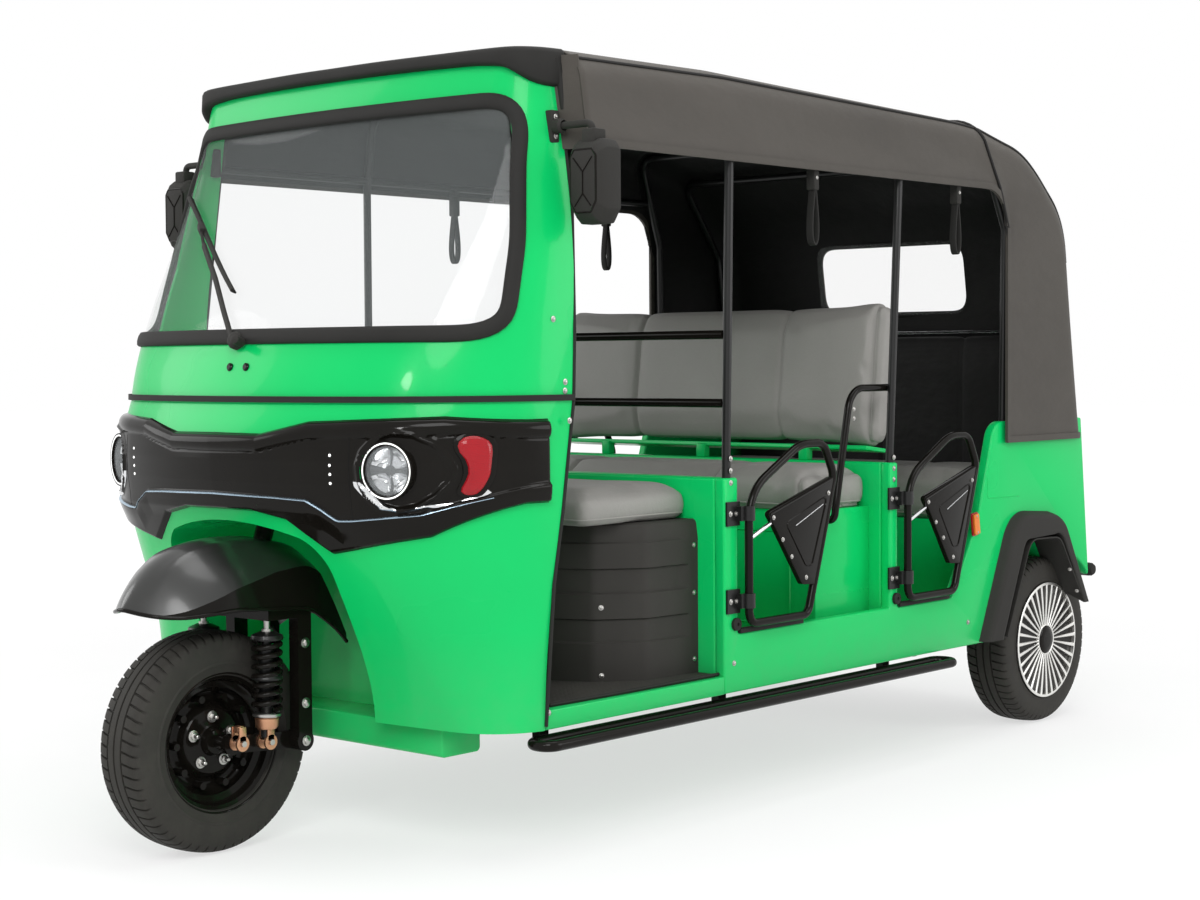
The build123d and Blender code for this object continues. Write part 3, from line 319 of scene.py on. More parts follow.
def vinyl(name, colour):
    """Upholstery vinyl: pebbled grain that darkens the colour a little, and soft creases."""
    made = Recipe(name, Specular_IOR_Level=0.45, Sheen_Weight=0.08, Sheen_Roughness=0.5)
    cell = made.cells(560.0)
    fold = made.noise(13, 5, 0.6, distortion=0.6)
    cloud = made.noise(3.1, 3)
    tone = made.mix(cell * 0.35, made.toned(cloud, colour, 0.90, 1.10), shade(colour, 0.72))
    crease = made.bump(fold, 0.35, 0.006)
    return made.surface(tone, 0.42 + fold * 0.10 + cell * 0.12, cell, 0.30, 0.0006, crease)


def coated_cloth(name, colour):
    """Soft-top cloth: coated weave with a matt face and long tension folds, with painted shade in
    the folds' hollows and painted light on their crests.
    """
    made = Recipe(name, Specular_IOR_Level=0.22, Sheen_Weight=0.04, Sheen_Roughness=0.6)
    along, across = (made.bands(way, 190.0, Distortion=0.4, Detail=1.0) for way in "YZ")
    weave = along * 0.5 + across * 0.5
    fold = made.noise(2.6, 5, 0.55, stretch=(1.0, 0.6, 1.3))
    worn = made.noise(31, 6, 0.7)
    # painted shade and painted light: the noise that shapes the fold bump also darkens the cloth in
    # the hollows and lightens it on the crests
    tone = made.mix(worn * 0.35, made.toned(fold, colour, 0.55, 1.30), shade(colour, 1.5))
    slack_folds = made.bump(fold, 0.55, 0.03)
    return made.surface(
        tone, 0.50 + worn * 0.14 + weave * 0.08, weave, 0.20, 0.0006, slack_folds
    )


def metal(name, colour, roughness):
    """Plated or machined metal with faint tool marks and tarnish."""
    made = Recipe(name, Metallic=1.0)
    mark = made.noise(150, 4, 0.6, stretch=(1.0, 1.0, 1.0))
    tarnish = made.noise(17, 4, 0.6)
    tone = made.toned(tarnish, colour, 0.80, 1.08)
    return made.surface(tone, roughness + mark * 0.12 + tarnish * 0.06, mark, 0.06, 0.0005)


def cast(name, colour):
    """Painted sand casting."""
    made = Recipe(name)
    lump = made.noise(90, 5, 0.7)
    return made.surface(
        made.toned(lump, colour, 0.7, 1.5), 0.5 + lump * 0.25, lump, 0.5, 0.002
    )


def pane(name, colour, alpha, roughness=0.03):
    """Thin window glass or clear film: mostly see-through, with a clear reflection."""
    made = Recipe(name, Alpha=alpha, IOR=1.5, Specular_IOR_Level=0.9)
    smear = made.noise(3.5, 5, 0.6)
    tone = made.toned(smear, colour, 0.9, 1.0)
    return made.surface(tone, roughness + smear * 0.03, made.noise(2.0, 2), 0.02, 0.01)


def lens(name, colour, glow=0.0):
    """Moulded lamp lens with fine optical ribs."""
    made = Recipe(
        name,
        Coat_Weight=0.3,
        Coat_Roughness=0.03,
        Specular_IOR_Level=0.2,
        Emission_Strength=glow,
    )
    rib = made.bands("Z", 60.0, Distortion=0.0)
    cloud = made.noise(18, 3)
    made.feed("Emission Color", made.toned(cloud, colour, 0.9, 1.0))
    tone = made.toned(cloud, colour, 0.8, 1.15)
    return made.surface(tone, 0.10 + cloud * 0.06, rib, 0.25, 0.0008)


def studded_mat(name):
    """Ribbed rubber matting with trodden-in dust."""
    made = Recipe(name, Specular_IOR_Level=0.3)
    stud = made.cells(70, randomness=0.0)
    dust = made.noise(8, 6, 0.7)
    tone = made.mix(dust, (0.016, 0.0155, 0.014), (0.050, 0.046, 0.040))
    raised = made.ramp(stud, 0.45, 0.30)
    return made.surface(tone, 0.62 + dust * 0.25, raised, 0.6, 0.0015)


FINISHES = {}


def mix_finishes(colours):
    """Every finish by name, the record's fourteen slots among them."""
    made_of = {
        "body_green": (paint, tuple(colours.body_green)),
        "black_steel": (coated_steel, (0.010, 0.010, 0.010)),
        "gloss_black": (lacquer, (0.0060, 0.0052, 0.0042)),
        "guard_plastic": (lacquer, (0.014, 0.0145, 0.0135), 0.26, 0.45, 0.4),
        "black_plastic": (grained, (0.026, 0.025, 0.023)),
        "seat_vinyl": (vinyl, tuple(colours.seat_grey)),
        "canopy_fabric": (coated_cloth, tuple(colours.canopy_grey)),
        "clear_glass": (pane, (0.42, 0.46, 0.46), 0.09),
        "window_film": (pane, (0.62, 0.63, 0.62), 0.05, 0.10),
        "black_rubber": (rubber, (0.016, 0.0155, 0.0145)),
        "lamp_clear": (pane, (0.72, 0.76, 0.78), 0.14),
        "lamp_red": (lens, tuple(colours.lamp_red)),
        "battery_case": (grained, (0.06, 0.06, 0.065)),
        "cast_iron": (cast, (0.030, 0.030, 0.032)),
        "tyre": (tyre_rubber,),
        "wheel_silver": (metal, (0.86, 0.85, 0.82), 0.28),
        "bolt_zinc": (metal, (0.46, 0.45, 0.43), 0.24),
        "bronze": (metal, (0.62, 0.33, 0.20), 0.32),
        "chrome": (metal, (0.80, 0.81, 0.82), 0.08),
        "piping": (rubber, (0.010, 0.0095, 0.009), 0.45),
        "lining": (coated_cloth, (0.0055, 0.0052, 0.0050)),
        # painted glow: the headlamp rings and the mask's dots shine with their own light, though
        # they are no lamps
        "ring_white": (lens, (0.95, 0.95, 0.93), 0.9),
        "amber": (lens, tuple(colours.marker_amber)),
        "accent": (metal, (0.42, 0.55, 0.66), 0.18),
        "matting": (studded_mat,),
        "base_plastic": (grained, (0.036, 0.034, 0.031), 0.46),
        "dark_hollow": (rubber, (0.004, 0.004, 0.004), 0.8),
    }
    for name, (mixed, *settings) in made_of.items():
        FINISHES[name] = mixed(name, *settings)


# ---------------------------------------------------------------- shapes


class Shape:
    """Corners and faces gathered for one piece."""

    def __init__(self, corners=(), faces=()):
        self.corners = [Vector(c) for c in corners]
        self.faces = [tuple(f) for f in faces]

    def take(self, other, place=None):
        """Adds another shape, moved by a matrix if one is given."""
        first = len(self.corners)
        self.corners += [place @ c if place else c.copy() for c in other.corners]
        self.faces += [tuple(first + i for i in face) for face in other.faces]
        return self

    def mirrored(self):
        return Shape(
            [(-c.x, c.y, c.z) for c in self.corners], [tuple(reversed(face)) for face in self.faces]
        )

    def both_sides(self):
        return Shape(self.corners, self.faces).take(self.mirrored())

    def on_side(self, side):
        return self if side > 0 else self.mirrored()


def skin(rings, round_ring=True, round_path=False):
    """Quads between rings of corners; open ends are closed with one face each."""
    made = Shape()
    size = len(rings[0])
    for ring in rings:
        made.corners += [Vector(c) for c in ring]
    spans = len(rings) if round_path else len(rings) - 1
    steps = size if round_ring else size - 1
    for i in range(spans):
        for j in range(steps):
            a, b = i * size + j, i * size + (j + 1) % size
            c, d = (i + 1) % len(rings) * size + (j + 1) % size, (i + 1) % len(rings) * size + j
            made.faces.append((a, b, c, d))
    if round_ring and not round_path:
        made.faces.append(tuple(reversed(range(size))))
        made.faces.append(tuple(range((len(rings) - 1) * size, len(rings) * size)))
    return made


def circle(radius, count=12, squash=1.0):
    return [
        (radius * math.cos(turn), radius * squash * math.sin(turn))
        for turn in (2 * math.pi * i / count for i in range(count))
    ]


# a cross product shorter than this comes from two directions that are nearly parallel
PARALLEL = 1e-4


def bent(points, radius, steps=6, closed=False):
    """Line through corners with each corner rounded, by one radius or a list of them."""
    points = [Vector(p) for p in points]
    bends = radius if isinstance(radius, list) else [radius] * len(points)
    line = []
    for i, corner in enumerate(points):
        if not closed and i in (0, len(points) - 1):
            line.append(corner)
            continue
        before = points[i - 1] - corner
        after = points[(i + 1) % len(points)] - corner
        half = before.angle(after) / 2
        reach = min(bends[i] / math.tan(half), before.length * 0.48, after.length * 0.48)
        a, b = corner + before.normalized() * reach, corner + after.normalized() * reach
        for k in range(steps + 1):
            t = k / steps
            line.append(a * (1 - t) ** 2 + corner * 2 * t * (1 - t) + b * t**2)
    return line


def travel(path, closed=False):
    """From behind to ahead at each point of a path; its ends count as their own neighbours."""
    last = len(path) - 1
    for i in range(len(path)):
        ahead = path[(i + 1) % len(path)] if closed else path[min(i + 1, last)]
        behind = path[i - 1] if closed else path[max(i - 1, 0)]
        yield ahead - behind


def sweep(path, section, closed=False, up=(0, 0, 1)):
    """Carries a section of (side, up) pairs along a path without twisting it."""
    path = [Vector(p) for p in path]
    rings = []
    side = None
    for point, way in zip(path, travel(path, closed)):
        way = way.normalized()
        if side is None:
            side = way.cross(Vector(up))
            if side.length < PARALLEL:
                side = way.cross(Vector((1, 0, 0)))
        side = (side - way * side.dot(way)).normalized()
        rise = side.cross(way)
        rings.append([point + side * a + rise * b for a, b in section])
    return skin(rings, round_path=closed)


def laid(path, normals, section, closed=False):
    """Carries a section of (side, up) pairs along a path that lies on a skin with these normals."""
    rings = []
    for point, rise, way in zip(path, normals, travel(path, closed)):
        side = way.cross(rise).normalized()
        rings.append([point + side * a + rise * b for a, b in section])
    return skin(rings, round_path=closed)


def lathe(profile, count, centre=(0, 0, 0), outward=1, closed=True):
    """Turns (along the axle, radius) pairs about the X axis."""
    centre = Vector(centre)
    rings = []
    for i in range(count):
        turn = 2 * math.pi * i / count
        rings.append(
            [
                centre + Vector((outward * x, r * math.cos(turn), r * math.sin(turn)))
                for x, r in profile
            ]
        )
    return skin(rings, round_ring=closed, round_path=True)


def facing(origin, way, up=(0, 0, 1)):
    """Matrix whose local X points along way at origin."""
    x = Vector(way).normalized()
    y = Vector(up).cross(x)
    if y.length < PARALLEL:
        y = Vector((0, 1, 0)).cross(x)
    y.normalize()
    z = x.cross(y)
    turned = Matrix((x, y, z)).transposed().to_4x4()
    return Matrix.Translation(Vector(origin)) @ turned


def bolt(origin, way, size):
    """Domed hexagon head on a round washer, standing on origin."""
    made = lathe([(0, 0), (0, 1.45), (0.22, 1.45), (0.3, 1.2), (0.3, 0)], 16, closed=False)
    made.take(
        lathe([(0.3, 0), (0.3, 1.0), (0.75, 1.0), (0.95, 0.7), (1.05, 0.0)], 6, closed=False)
    )
    return Shape().take(made, facing(origin, way) @ Matrix.Scale(size, 4))


def bolts(rows, size):
    """One bolt of a size for each (origin, way)."""
    made = Shape()
    for origin, way in rows:
        made.take(bolt(origin, way, size))
    return made


def slab(outline, place, low, high, bevel=0.002, segments=2):
    """Plate from a closed outline of (u, v), between two depths, with rounded edges.

    place turns (u, v, depth) into a point."""
    bm = bmesh.new()
    bottom = [bm.verts.new(place(u, v, low)) for u, v in outline]
    top = [bm.verts.new(place(u, v, high)) for u, v in outline]
    count = len(outline)
    bm.faces.new(list(reversed(bottom)))
    bm.faces.new(top)
    for i in range(count):
        j = (i + 1) % count
        bm.faces.new((bottom[i], bottom[j], top[j], top[i]))
    if bevel:
        bmesh.ops.recalc_face_normals(bm, faces=bm.faces)
        sharp = [e for e in bm.edges if e.is_manifold and e.calc_face_angle(0) > 0.6]
        round_edges(bm, sharp, bevel, segments, clamp_overlap=True)
    return from_bmesh(bm)


def round_edges(bm, edges, width, segments, **options):
    bmesh.ops.bevel(
        bm, geom=edges, offset=width, segments=segments, profile=0.5, affect="EDGES", **options
    )


def from_bmesh(bm):
    bm.verts.index_update()
    made = Shape([v.co for v in bm.verts], [[v.index for v in f.verts] for f in bm.faces])
    bm.free()
    return made


def brick(low, high, bevel=0.003):
    """Box between two corners with rounded edges."""
    outline = [(low[0], low[1]), (high[0], low[1]), (high[0], high[1]), (low[0], high[1])]
    return slab(outline, lambda u, v, w: Vector((u, v, w)), low[2], high[2], bevel)


def rounded(outline, radius, steps=5):
    """Closed 2D outline with rounded corners."""
    line = bent([(u, v, 0) for u, v in outline], radius, steps, closed=True)
    return [(p.x, p.y) for p in line]


def added(name, data):
    """A new object in the scene."""
    obj = bpy.data.objects.new(name, data)
    bpy.context.scene.collection.objects.link(obj)
    return obj


def piece(name, shape, look, body="body", hides=(), keep_sharp=35):
    """Makes one visible piece, smooth except across sharp edges, and ties it to its body."""
    mesh = bpy.data.meshes.new(name)
    mesh.from_pydata([tuple(c) for c in shape.corners], [], shape.faces)
    mesh.validate()
    bm = bmesh.new()
    bm.from_mesh(mesh)
    bmesh.ops.remove_doubles(bm, verts=bm.verts, dist=1e-6)
    bmesh.ops.dissolve_degenerate(bm, edges=bm.edges, dist=1e-7)
    bmesh.ops.recalc_face_normals(bm, faces=bm.faces)
    bm.to_mesh(mesh)
    bm.free()
    mesh.materials.append(FINISHES[look])
    smooth(mesh, keep_sharp)
    return tie(added(name, mesh), body, hides)


def bolt_piece(name, rows, size, body="body", twin=False):
    """Zinc-plated bolts of one size as one piece, on the other side too if they have a twin."""
    shape = bolts(rows, size)
    return piece(name, shape.both_sides() if twin else shape, "bolt_zinc", body)


def tie(obj, body, hides=()):
    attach(obj, body)
    if hides:
        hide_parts(*hides)
    return obj


def smooth(mesh, keep_sharp):
    mesh.polygons.foreach_set("use_smooth", [True] * len(mesh.polygons))
    mesh.set_sharp_from_angle(angle=math.radians(keep_sharp))


def settle(obj):
    """Applies every modifier to the piece's mesh."""
    world = bpy.context.evaluated_depsgraph_get()
    mesh = bpy.data.meshes.new_from_object(obj.evaluated_get(world))
    old, name = obj.data, obj.data.name
    obj.modifiers.clear()
    obj.data = mesh
    bpy.data.meshes.remove(old)
    mesh.name = name
    return obj


def carve(obj, shape):
    """Cuts a closed shape out of a piece."""
    tool = piece("carving_tool", shape, "dark_hollow")
    cut = obj.modifiers.new("cut", "BOOLEAN")
    cut.operation = "DIFFERENCE"
    cut.solver = "EXACT"
    cut.object = tool
    settle(obj)
    bpy.data.objects.remove(tool)
    smooth(obj.data, 35)
    return obj


def softened(node, name, width, corner=None):
    """A pressed-sheet or moulded copy of a frame node, with its hard edges rounded."""
    mesh = frame["nodes"][node].data.copy()
    mesh.name = name
    bm = bmesh.new()
    bm.from_mesh(mesh)
    bmesh.ops.remove_doubles(bm, verts=bm.verts, dist=2e-5)
    bmesh.ops.dissolve_limit(
        bm,
        angle_limit=math.radians(1.0),
        verts=bm.verts,
        edges=bm.edges,
        use_dissolve_boundaries=False,
    )
    if corner:
        back, z, radius = corner
        y = FRONT + back
        meeting = [
            e for e in bm.edges
            if all(math.hypot(v.co.y - y, v.co.z - z) < 0.012 for v in e.verts)
            and abs(e.verts[0].co.x - e.verts[1].co.x) > 0.001
        ]
        if not meeting:
            raise RuntimeError(f"{node} has no corner at {y:.3f}, {z:.3f}")
        round_edges(bm, meeting, radius, 8)
    bm.to_mesh(mesh)
    bm.free()
    mesh.materials.clear()
    mesh.materials.append(FINISHES[SLOT_OF[node]])
    obj = added(name, mesh)
    edge = obj.modifiers.new("edge", "BEVEL")
    edge.width = width
    edge.segments = 3
    edge.limit_method = "ANGLE"
    edge.angle_limit = math.radians(32)
    edge.use_clamp_overlap = True
    edge.miter_outer = "MITER_ARC"
    settle(obj)
    smooth(obj.data, 40)
    return tie(obj, "body", (node,))


def tree_of(obj):
    """Ray-casting tree of a piece or node."""
    return BVHTree.FromObject(obj, bpy.context.evaluated_depsgraph_get())


# ---------------------------------------------------------------- skin of the cab in numbers

# height, y of the nose behind the front axle, nose radius, corner radius
COWL = [
    (0.291, 0.250, 3.820, 0.160),
    (0.614, 0.130, 2.020, 0.330),
    (0.784, 0.055, 1.536, 0.380),
    (1.028, 0.060, 1.432, 0.400),
]
# height, how far the rounded skin stands ahead of straight lines between those levels
BULGE = [
    (0.291, 0.0), (0.614, 0.004), (0.700, 0.0035), (0.760, 0.0024), (0.784, 0.0030),
    (0.800, 0.0050), (0.850, 0.0171), (0.900, 0.0226), (0.950, 0.0207), (0.990, 0.0128),
    (1.020, 0.0031), (1.028, 0.0),
]
BULGE_FADE = 0.5


# shares of a half skin taken by its nose, its rounded corner and its flat side
NOSE_PART, CORNER_PART, SIDE_PART = 0.5, 0.35, 0.15
SIDE_START = NOSE_PART + CORNER_PART
# the cab's rear edge: how far back it is at a height, and how it leans
CAB_REAR, CAB_REAR_LEVEL, CAB_REAR_LEAN = 0.458, 0.614, 0.17


def cowl_point(share, z, grow=0.0):
    """Point on the left half of the cowl's skin; share runs from the centre line to the rear."""
    for low, high in zip(COWL, COWL[1:]):
        if z <= high[0]:
            break
    part = (z - low[0]) / (high[0] - low[0])
    nose, radius, corner = (low[i] + (high[i] - low[i]) * part for i in (1, 2, 3))
    width = HALF_WIDTH
    centre_y = nose + radius
    corner_x = width - corner
    corner_y = centre_y - math.sqrt((radius - corner) ** 2 - corner_x**2)
    meet = math.atan2(corner_x, centre_y - corner_y)
    if share < NOSE_PART:
        turn = meet * share / NOSE_PART
        x, y = (radius + grow) * math.sin(turn), centre_y - (radius + grow) * math.cos(turn)
    elif share < SIDE_START:
        turn = meet + (math.pi / 2 - meet) * (share - NOSE_PART) / CORNER_PART
        x = corner_x + (corner + grow) * math.sin(turn)
        y = corner_y - (corner + grow) * math.cos(turn)
    else:
        back = CAB_REAR + (z - CAB_REAR_LEVEL) * CAB_REAR_LEAN
        x = width + grow
        y = corner_y + (back - corner_y) * (share - SIDE_START) / SIDE_PART
    bulge = between(BULGE, z) * (1 - BULGE_FADE * min(1.0, x / width))
    y -= bulge * min(1.0, (1 - share) / SIDE_PART)
    return at(x, y, z)


def cowl_share(x, z):
    """The share at which the cowl's skin lies x from the centre line."""
    low, high = 0.0, SIDE_START
    for _ in range(24):
        middle = (low + high) / 2
        if cowl_point(middle, z).x < x:
            low = middle
        else:
            high = middle
    return low


def on_cowl(x, z, grow):
    """Point on the skin at (x, z) as seen from the front, moved outwards by grow."""
    spot = cowl_point(cowl_share(abs(x), z), z, grow)
    return Vector((math.copysign(spot.x, x), spot.y, spot.z))


def between(table, x):
    """Straight-line reading of a table of (x, value)."""
    for (a, u), (b, v) in zip(table, table[1:]):
        if x <= b:
            return u + (v - u) * max(0.0, (x - a) / (b - a))
    return table[-1][1]


def eased(value, low, high):
    """0 below low, 1 above high, smooth between."""
    t = min(1.0, max(0.0, (value - low) / (high - low)))
    return t * t * (3 - 2 * t)


MASK_LOW = [
    (0, 0.784), (0.117, 0.783), (0.215, 0.764), (0.270, 0.722), (0.311, 0.691), (0.552, 0.735),
    (0.668, 0.803),
]
MASK_HIGH = [(0, 0.962), (0.154, 0.962), (0.295, 0.990), (0.586, 1.001), (0.668, 0.991)]
# raised band along the mask's lower part, front view
CREASE = [
    (0, 0.822), (0.203, 0.818), (0.287, 0.814), (0.331, 0.792), (0.363, 0.770), (0.400, 0.771),
    (0.536, 0.786), (0.629, 0.822),
]
LAMP_SPOT = (0.478, 0.150, 0.882)
LAMP_TURN = math.radians(16)
LAMP_HOLE = 0.0605
EYE = [
    (0.424, 0.890), (0.434, 0.925), (0.455, 0.950), (0.490, 0.963), (0.530, 0.958), (0.563, 0.938),
    (0.584, 0.910), (0.594, 0.884), (0.586, 0.856), (0.566, 0.828), (0.536, 0.804), (0.502, 0.796),
    (0.466, 0.806), (0.440, 0.830), (0.427, 0.858),
]


# ---------------------------------------------------------------- operators, one per group


class RickshawFinishes(bpy.types.Operator):
    """Mixes every finish and lays them on the frame's own parts."""

    bl_idname = "rickshaw.finishes"
    bl_label = "Finishes"

    def execute(self, context):
        mix_finishes(context.scene.rickshaw_colours)
        for name, node in frame["nodes"].items():
            for i in range(len(node.data.materials)):
                node.data.materials[i] = FINISHES[SLOT_OF[name]]
        for name in ("handlebar", "front_fork", "seat_guards", "grab_rails", "side_steps"):
            frame["nodes"][name].data.materials[0] = FINISHES["gloss_black"]
        frame["nodes"]["rear_window"].data.materials[0] = FINISHES["window_film"]
        return {"FINISHED"}


# crown curve of a tyre from its middle outwards: across, radius, whether it lies in a rib groove,
# and how deep a cross groove is there
HALF_TREAD = [
    (0.0000, 0.2540, 1, 0.0), (0.0022, 0.2540, 1, 0.0), (0.0031, 0.2540, 0, 0.0),
    (0.0120, 0.2538, 0, 0.0), (0.0215, 0.2534, 0, 0.0), (0.0224, 0.2534, 1, 0.0),
    (0.0262, 0.2532, 1, 0.0), (0.0271, 0.2531, 0, 1.0), (0.0360, 0.2524, 0, 1.0),
    (0.0450, 0.2512, 0, 1.0), (0.0530, 0.2492, 0, 1.0), (0.0592, 0.2462, 0, 1.0),
    (0.0636, 0.2415, 0, 0.8), (0.0668, 0.2345, 0, 0.3), (0.0688, 0.2250, 0, 0.0),
    (0.0700, 0.2090, 0, 0.0), (0.0699, 0.1960, 0, 0.0), (0.0690, 0.1870, 0, 0.0),
    (0.0700, 0.1850, 0, 0.0), (0.0700, 0.1810, 0, 0.0), (0.0684, 0.1790, 0, 0.0),
    (0.0655, 0.1690, 0, 0.0), (0.0625, 0.1610, 0, 0.0), (0.0590, 0.1550, 0, 0.0),
    (0.0480, 0.1520, 0, 0.0), (0.0250, 0.1500, 0, 0.0),
]
# places around one tread pitch and whether each is in the cross groove
PITCH_STEPS = [(0.0, 0), (0.38, 0), (0.42, 1), (0.56, 1), (0.60, 0)]
# how far round a cross groove trails at the tread's edge, and how far out that edge is
GROOVE_SWEEP = 0.045
TREAD_HALF = 0.06


def treaded_tyre(centre, pitches, depth):
    rings = []
    across = HALF_TREAD + [(-x, *rest) for x, *rest in reversed(HALF_TREAD[1:])]
    for pitch in range(pitches):
        for phase, cut in PITCH_STEPS:
            ring = []
            for x, radius, rib, cross in across:
                turn = 2 * math.pi * (pitch + phase) / pitches
                turn += GROOVE_SWEEP * (x / TREAD_HALF) * min(1.0, abs(x) / TREAD_HALF)
                sunk = radius - depth * max(rib, cross * cut)
                ring.append(centre + Vector((x, sunk * math.cos(turn), sunk * math.sin(turn))))
            rings.append(ring)
    return skin(rings, round_path=True)


WHEELS = [
    ("front_tyre", "front_wheel", 0.0, FRONT),
    ("rear_tyre_left", "rear_wheel_left", 0.565, REAR),
    ("rear_tyre_right", "rear_wheel_right", -0.565, REAR),
]


class RickshawTyres(bpy.types.Operator):
    """Puts treaded tyres on the three wheels."""

    bl_idname = "rickshaw.tyres"
    bl_label = "Tyres"

    def execute(self, context):
        sizes = context.scene.rickshaw_sizes
        for node, body, x, y in WHEELS:
            shape = treaded_tyre(Vector((x, y, AXLE_Z)), sizes.tread_pitches, sizes.tread_depth)
            piece(f"{node}_treaded", shape, "tyre", body, hides=(node,), keep_sharp=30)
        return {"FINISHED"}


RIM_OUTSIDE = [
    (0.0600, 0.1622), (0.0622, 0.1620), (0.0634, 0.1602), (0.0625, 0.1578), (0.0530, 0.1540),
    (0.0480, 0.1450), (0.0350, 0.1400), (0.0270, 0.1240),
]
RIM_INSIDE = [
    (0.0230, 0.1275), (0.0310, 0.1432), (0.0445, 0.1478), (0.0495, 0.1562), (0.0590, 0.1592)
]
DISC = [
    (0.0230, 0.1262), (0.0130, 0.1220), (0.0030, 0.1150), (-0.0020, 0.1050), (-0.0010, 0.0940),
    (0.0060, 0.0850), (0.0170, 0.0790), (0.0215, 0.0740), (0.0220, 0.0600), (0.0220, 0.0400),
    (0.0240, 0.0340), (0.0330, 0.0310), (0.0400, 0.0270), (0.0420, 0.0200), (0.0425, 0.0000),
]
DISC_METAL = 0.004
LUG_CIRCLE = 0.056
HAND_HOLE_CIRCLE = 0.104


def around(count, radius, centre, phase=0.0):
    """Places round a circle that faces sideways."""
    for i in range(count):
        turn = 2 * math.pi * i / count + phase
        yield centre + Vector((0, radius * math.cos(turn), radius * math.sin(turn)))


class RickshawFrontWheel(bpy.types.Operator):
    """Presses the front rim and its dished disc, with hand holes, hub and lug nuts."""

    bl_idname = "rickshaw.front_wheel"
    bl_label = "Front wheel"

    def execute(self, context):
        hub = Vector((0, FRONT, AXLE_Z))
        inner_side = [(-x, r) for x, r in reversed(RIM_OUTSIDE)] + [(-x, r) for x, r in RIM_INSIDE]
        rim = lathe(RIM_OUTSIDE + inner_side + RIM_INSIDE[::-1], 120, hub)
        disc = lathe(
            DISC + [(x - DISC_METAL, r) for x, r in reversed(DISC)], 120, hub, closed=False
        )
        wheel = piece(
            "front_wheel_pressing",
            disc,
            "gloss_black",
            "front_wheel",
            ("front_rim",),
        )
        holes = Shape()
        for spot in around(10, HAND_HOLE_CIRCLE, hub):
            holes.take(
                lathe(
                    [(-0.03, 0), (-0.03, 0.0085), (0.03, 0.0085), (0.03, 0)], 16, spot, closed=False
                )
            )
        carve(wheel, holes)
        piece("front_wheel_rim", rim, "gloss_black", "front_wheel")
        drum = lathe(
            [
                (-0.068, 0), (-0.068, 0.016), (-0.050, 0.060), (-0.006, 0.066), (0.016, 0.060),
                (0.018, 0),
            ],
            64,
            hub,
        )
        piece("front_wheel_drum", drum, "cast_iron", "front_wheel")
        nuts = Shape()
        for spot in around(5, LUG_CIRCLE, hub + Vector((0.022, 0, 0)), 0.3):
            nuts.take(bolt(spot, (1, 0, 0), 0.0095))
            nuts.take(
                lathe(
                    [(0.0, 0), (0.0, 0.005), (0.019, 0.005), (0.021, 0.003), (0.021, 0)],
                    16,
                    spot,
                    closed=False,
                )
            )
        piece("front_wheel_nuts", nuts, "bolt_zinc", "front_wheel")
        return {"FINISHED"}


COVER_RING = [
    (-0.0077, 0.1690), (0.0010, 0.1700), (0.0015, 0.1745), (0.0045, 0.1762), (0.0060, 0.1730),
    (0.0056, 0.1690),
]
COVER_HUB_RING = [
    (-0.0060, 0.0420), (0.0008, 0.0425), (0.0020, 0.0440), (0.0016, 0.0465), (-0.0060, 0.0480)
]
COVER_BACK = [(-0.0077, 0.0240), (-0.0077, 0.1720), (-0.0060, 0.1720), (-0.0060, 0.0240)]
COVER_CAP = [
    (-0.0060, 0.0), (-0.0060, 0.0430), (0.0010, 0.0410), (0.0050, 0.0340), (0.0062, 0.0200),
    (0.0062, 0.0),
]
# radius, half width, face outwards of the tyre's flank
FIN_STATIONS = [
    (0.046, 0.0022, 0.0010), (0.080, 0.0029, 0.0020), (0.110, 0.0036, 0.0034),
    (0.140, 0.0044, 0.0047), (0.171, 0.0052, 0.0056),
]


def cover_fin():
    """One radial fin, pointing up from the axle, as (outward, sideways, radius)."""
    rings = []
    for radius, half, face in FIN_STATIONS:
        rings.append(
            [
                (-0.0066, -half, radius), (face - 0.0020, -half, radius),
                (face, -half * 0.45, radius), (face, half * 0.45, radius),
                (face - 0.0020, half, radius), (-0.0066, half, radius),
            ]
        )
    return skin(rings)


class RickshawWheelCovers(bpy.types.Operator):
    """Fits finned covers with bright rings and a dark cap to the rear wheels."""

    bl_idname = "rickshaw.wheel_covers"
    bl_label = "Wheel covers"

    def execute(self, context):
        fins = context.scene.rickshaw_sizes.cover_fins
        for side, word in SIDES:
            centre = Vector((side * 0.635, REAR, AXLE_Z))
            body = f"rear_wheel_{word}"
            bright = lathe(COVER_RING, 128, centre, side)
            bright.take(lathe(COVER_HUB_RING, 64, centre, side))
            blade = cover_fin()
            for i in range(fins):
                turn = Matrix.Rotation(2 * math.pi * i / fins, 4, "X")
                outward = Matrix.Scale(side, 4, (1, 0, 0))
                bright.take(blade, Matrix.Translation(centre) @ turn @ outward)
            piece(
                f"rear_cover_{word}_fins",
                bright,
                "wheel_silver",
                body,
                hides=(f"rear_cover_{word}",),
            )
            dark = lathe(COVER_BACK, 96, centre, side).take(
                lathe(COVER_CAP, 48, centre, side, closed=False)
            )
            piece(f"rear_cover_{word}_cap", dark, "gloss_black", body)
        return {"FINISHED"}


# ---- nose ----
RIDGE = 0.046
RIDGE_HEIGHT = 0.021
PANEL_HEIGHT = 0.010
CREASE_HEIGHT = 0.019


def inside_by(outline, x, z):
    """Signed distance of (x, z) inside a closed outline, negative outside."""
    best = 1e9
    odd = False
    count = len(outline)
    for i in range(count):
        (ax, az), (bx, bz) = outline[i], outline[(i + 1) % count]
        dx, dz = bx - ax, bz - az
        t = min(1.0, max(0.0, ((x - ax) * dx + (z - az) * dz) / (dx * dx + dz * dz)))
        best = min(best, math.hypot(x - ax - dx * t, z - az - dz * t))
        if (az > z) != (bz > z) and x < ax + dx * (z - az) / dz:
            odd = not odd
    return best if odd else -best


EYE_SMOOTH = rounded(EYE, 0.02, 3)
# where the mask ends behind the axle, and the shares worked out for that, by height
MASK_END = 0.448
MASK_ENDS = {}


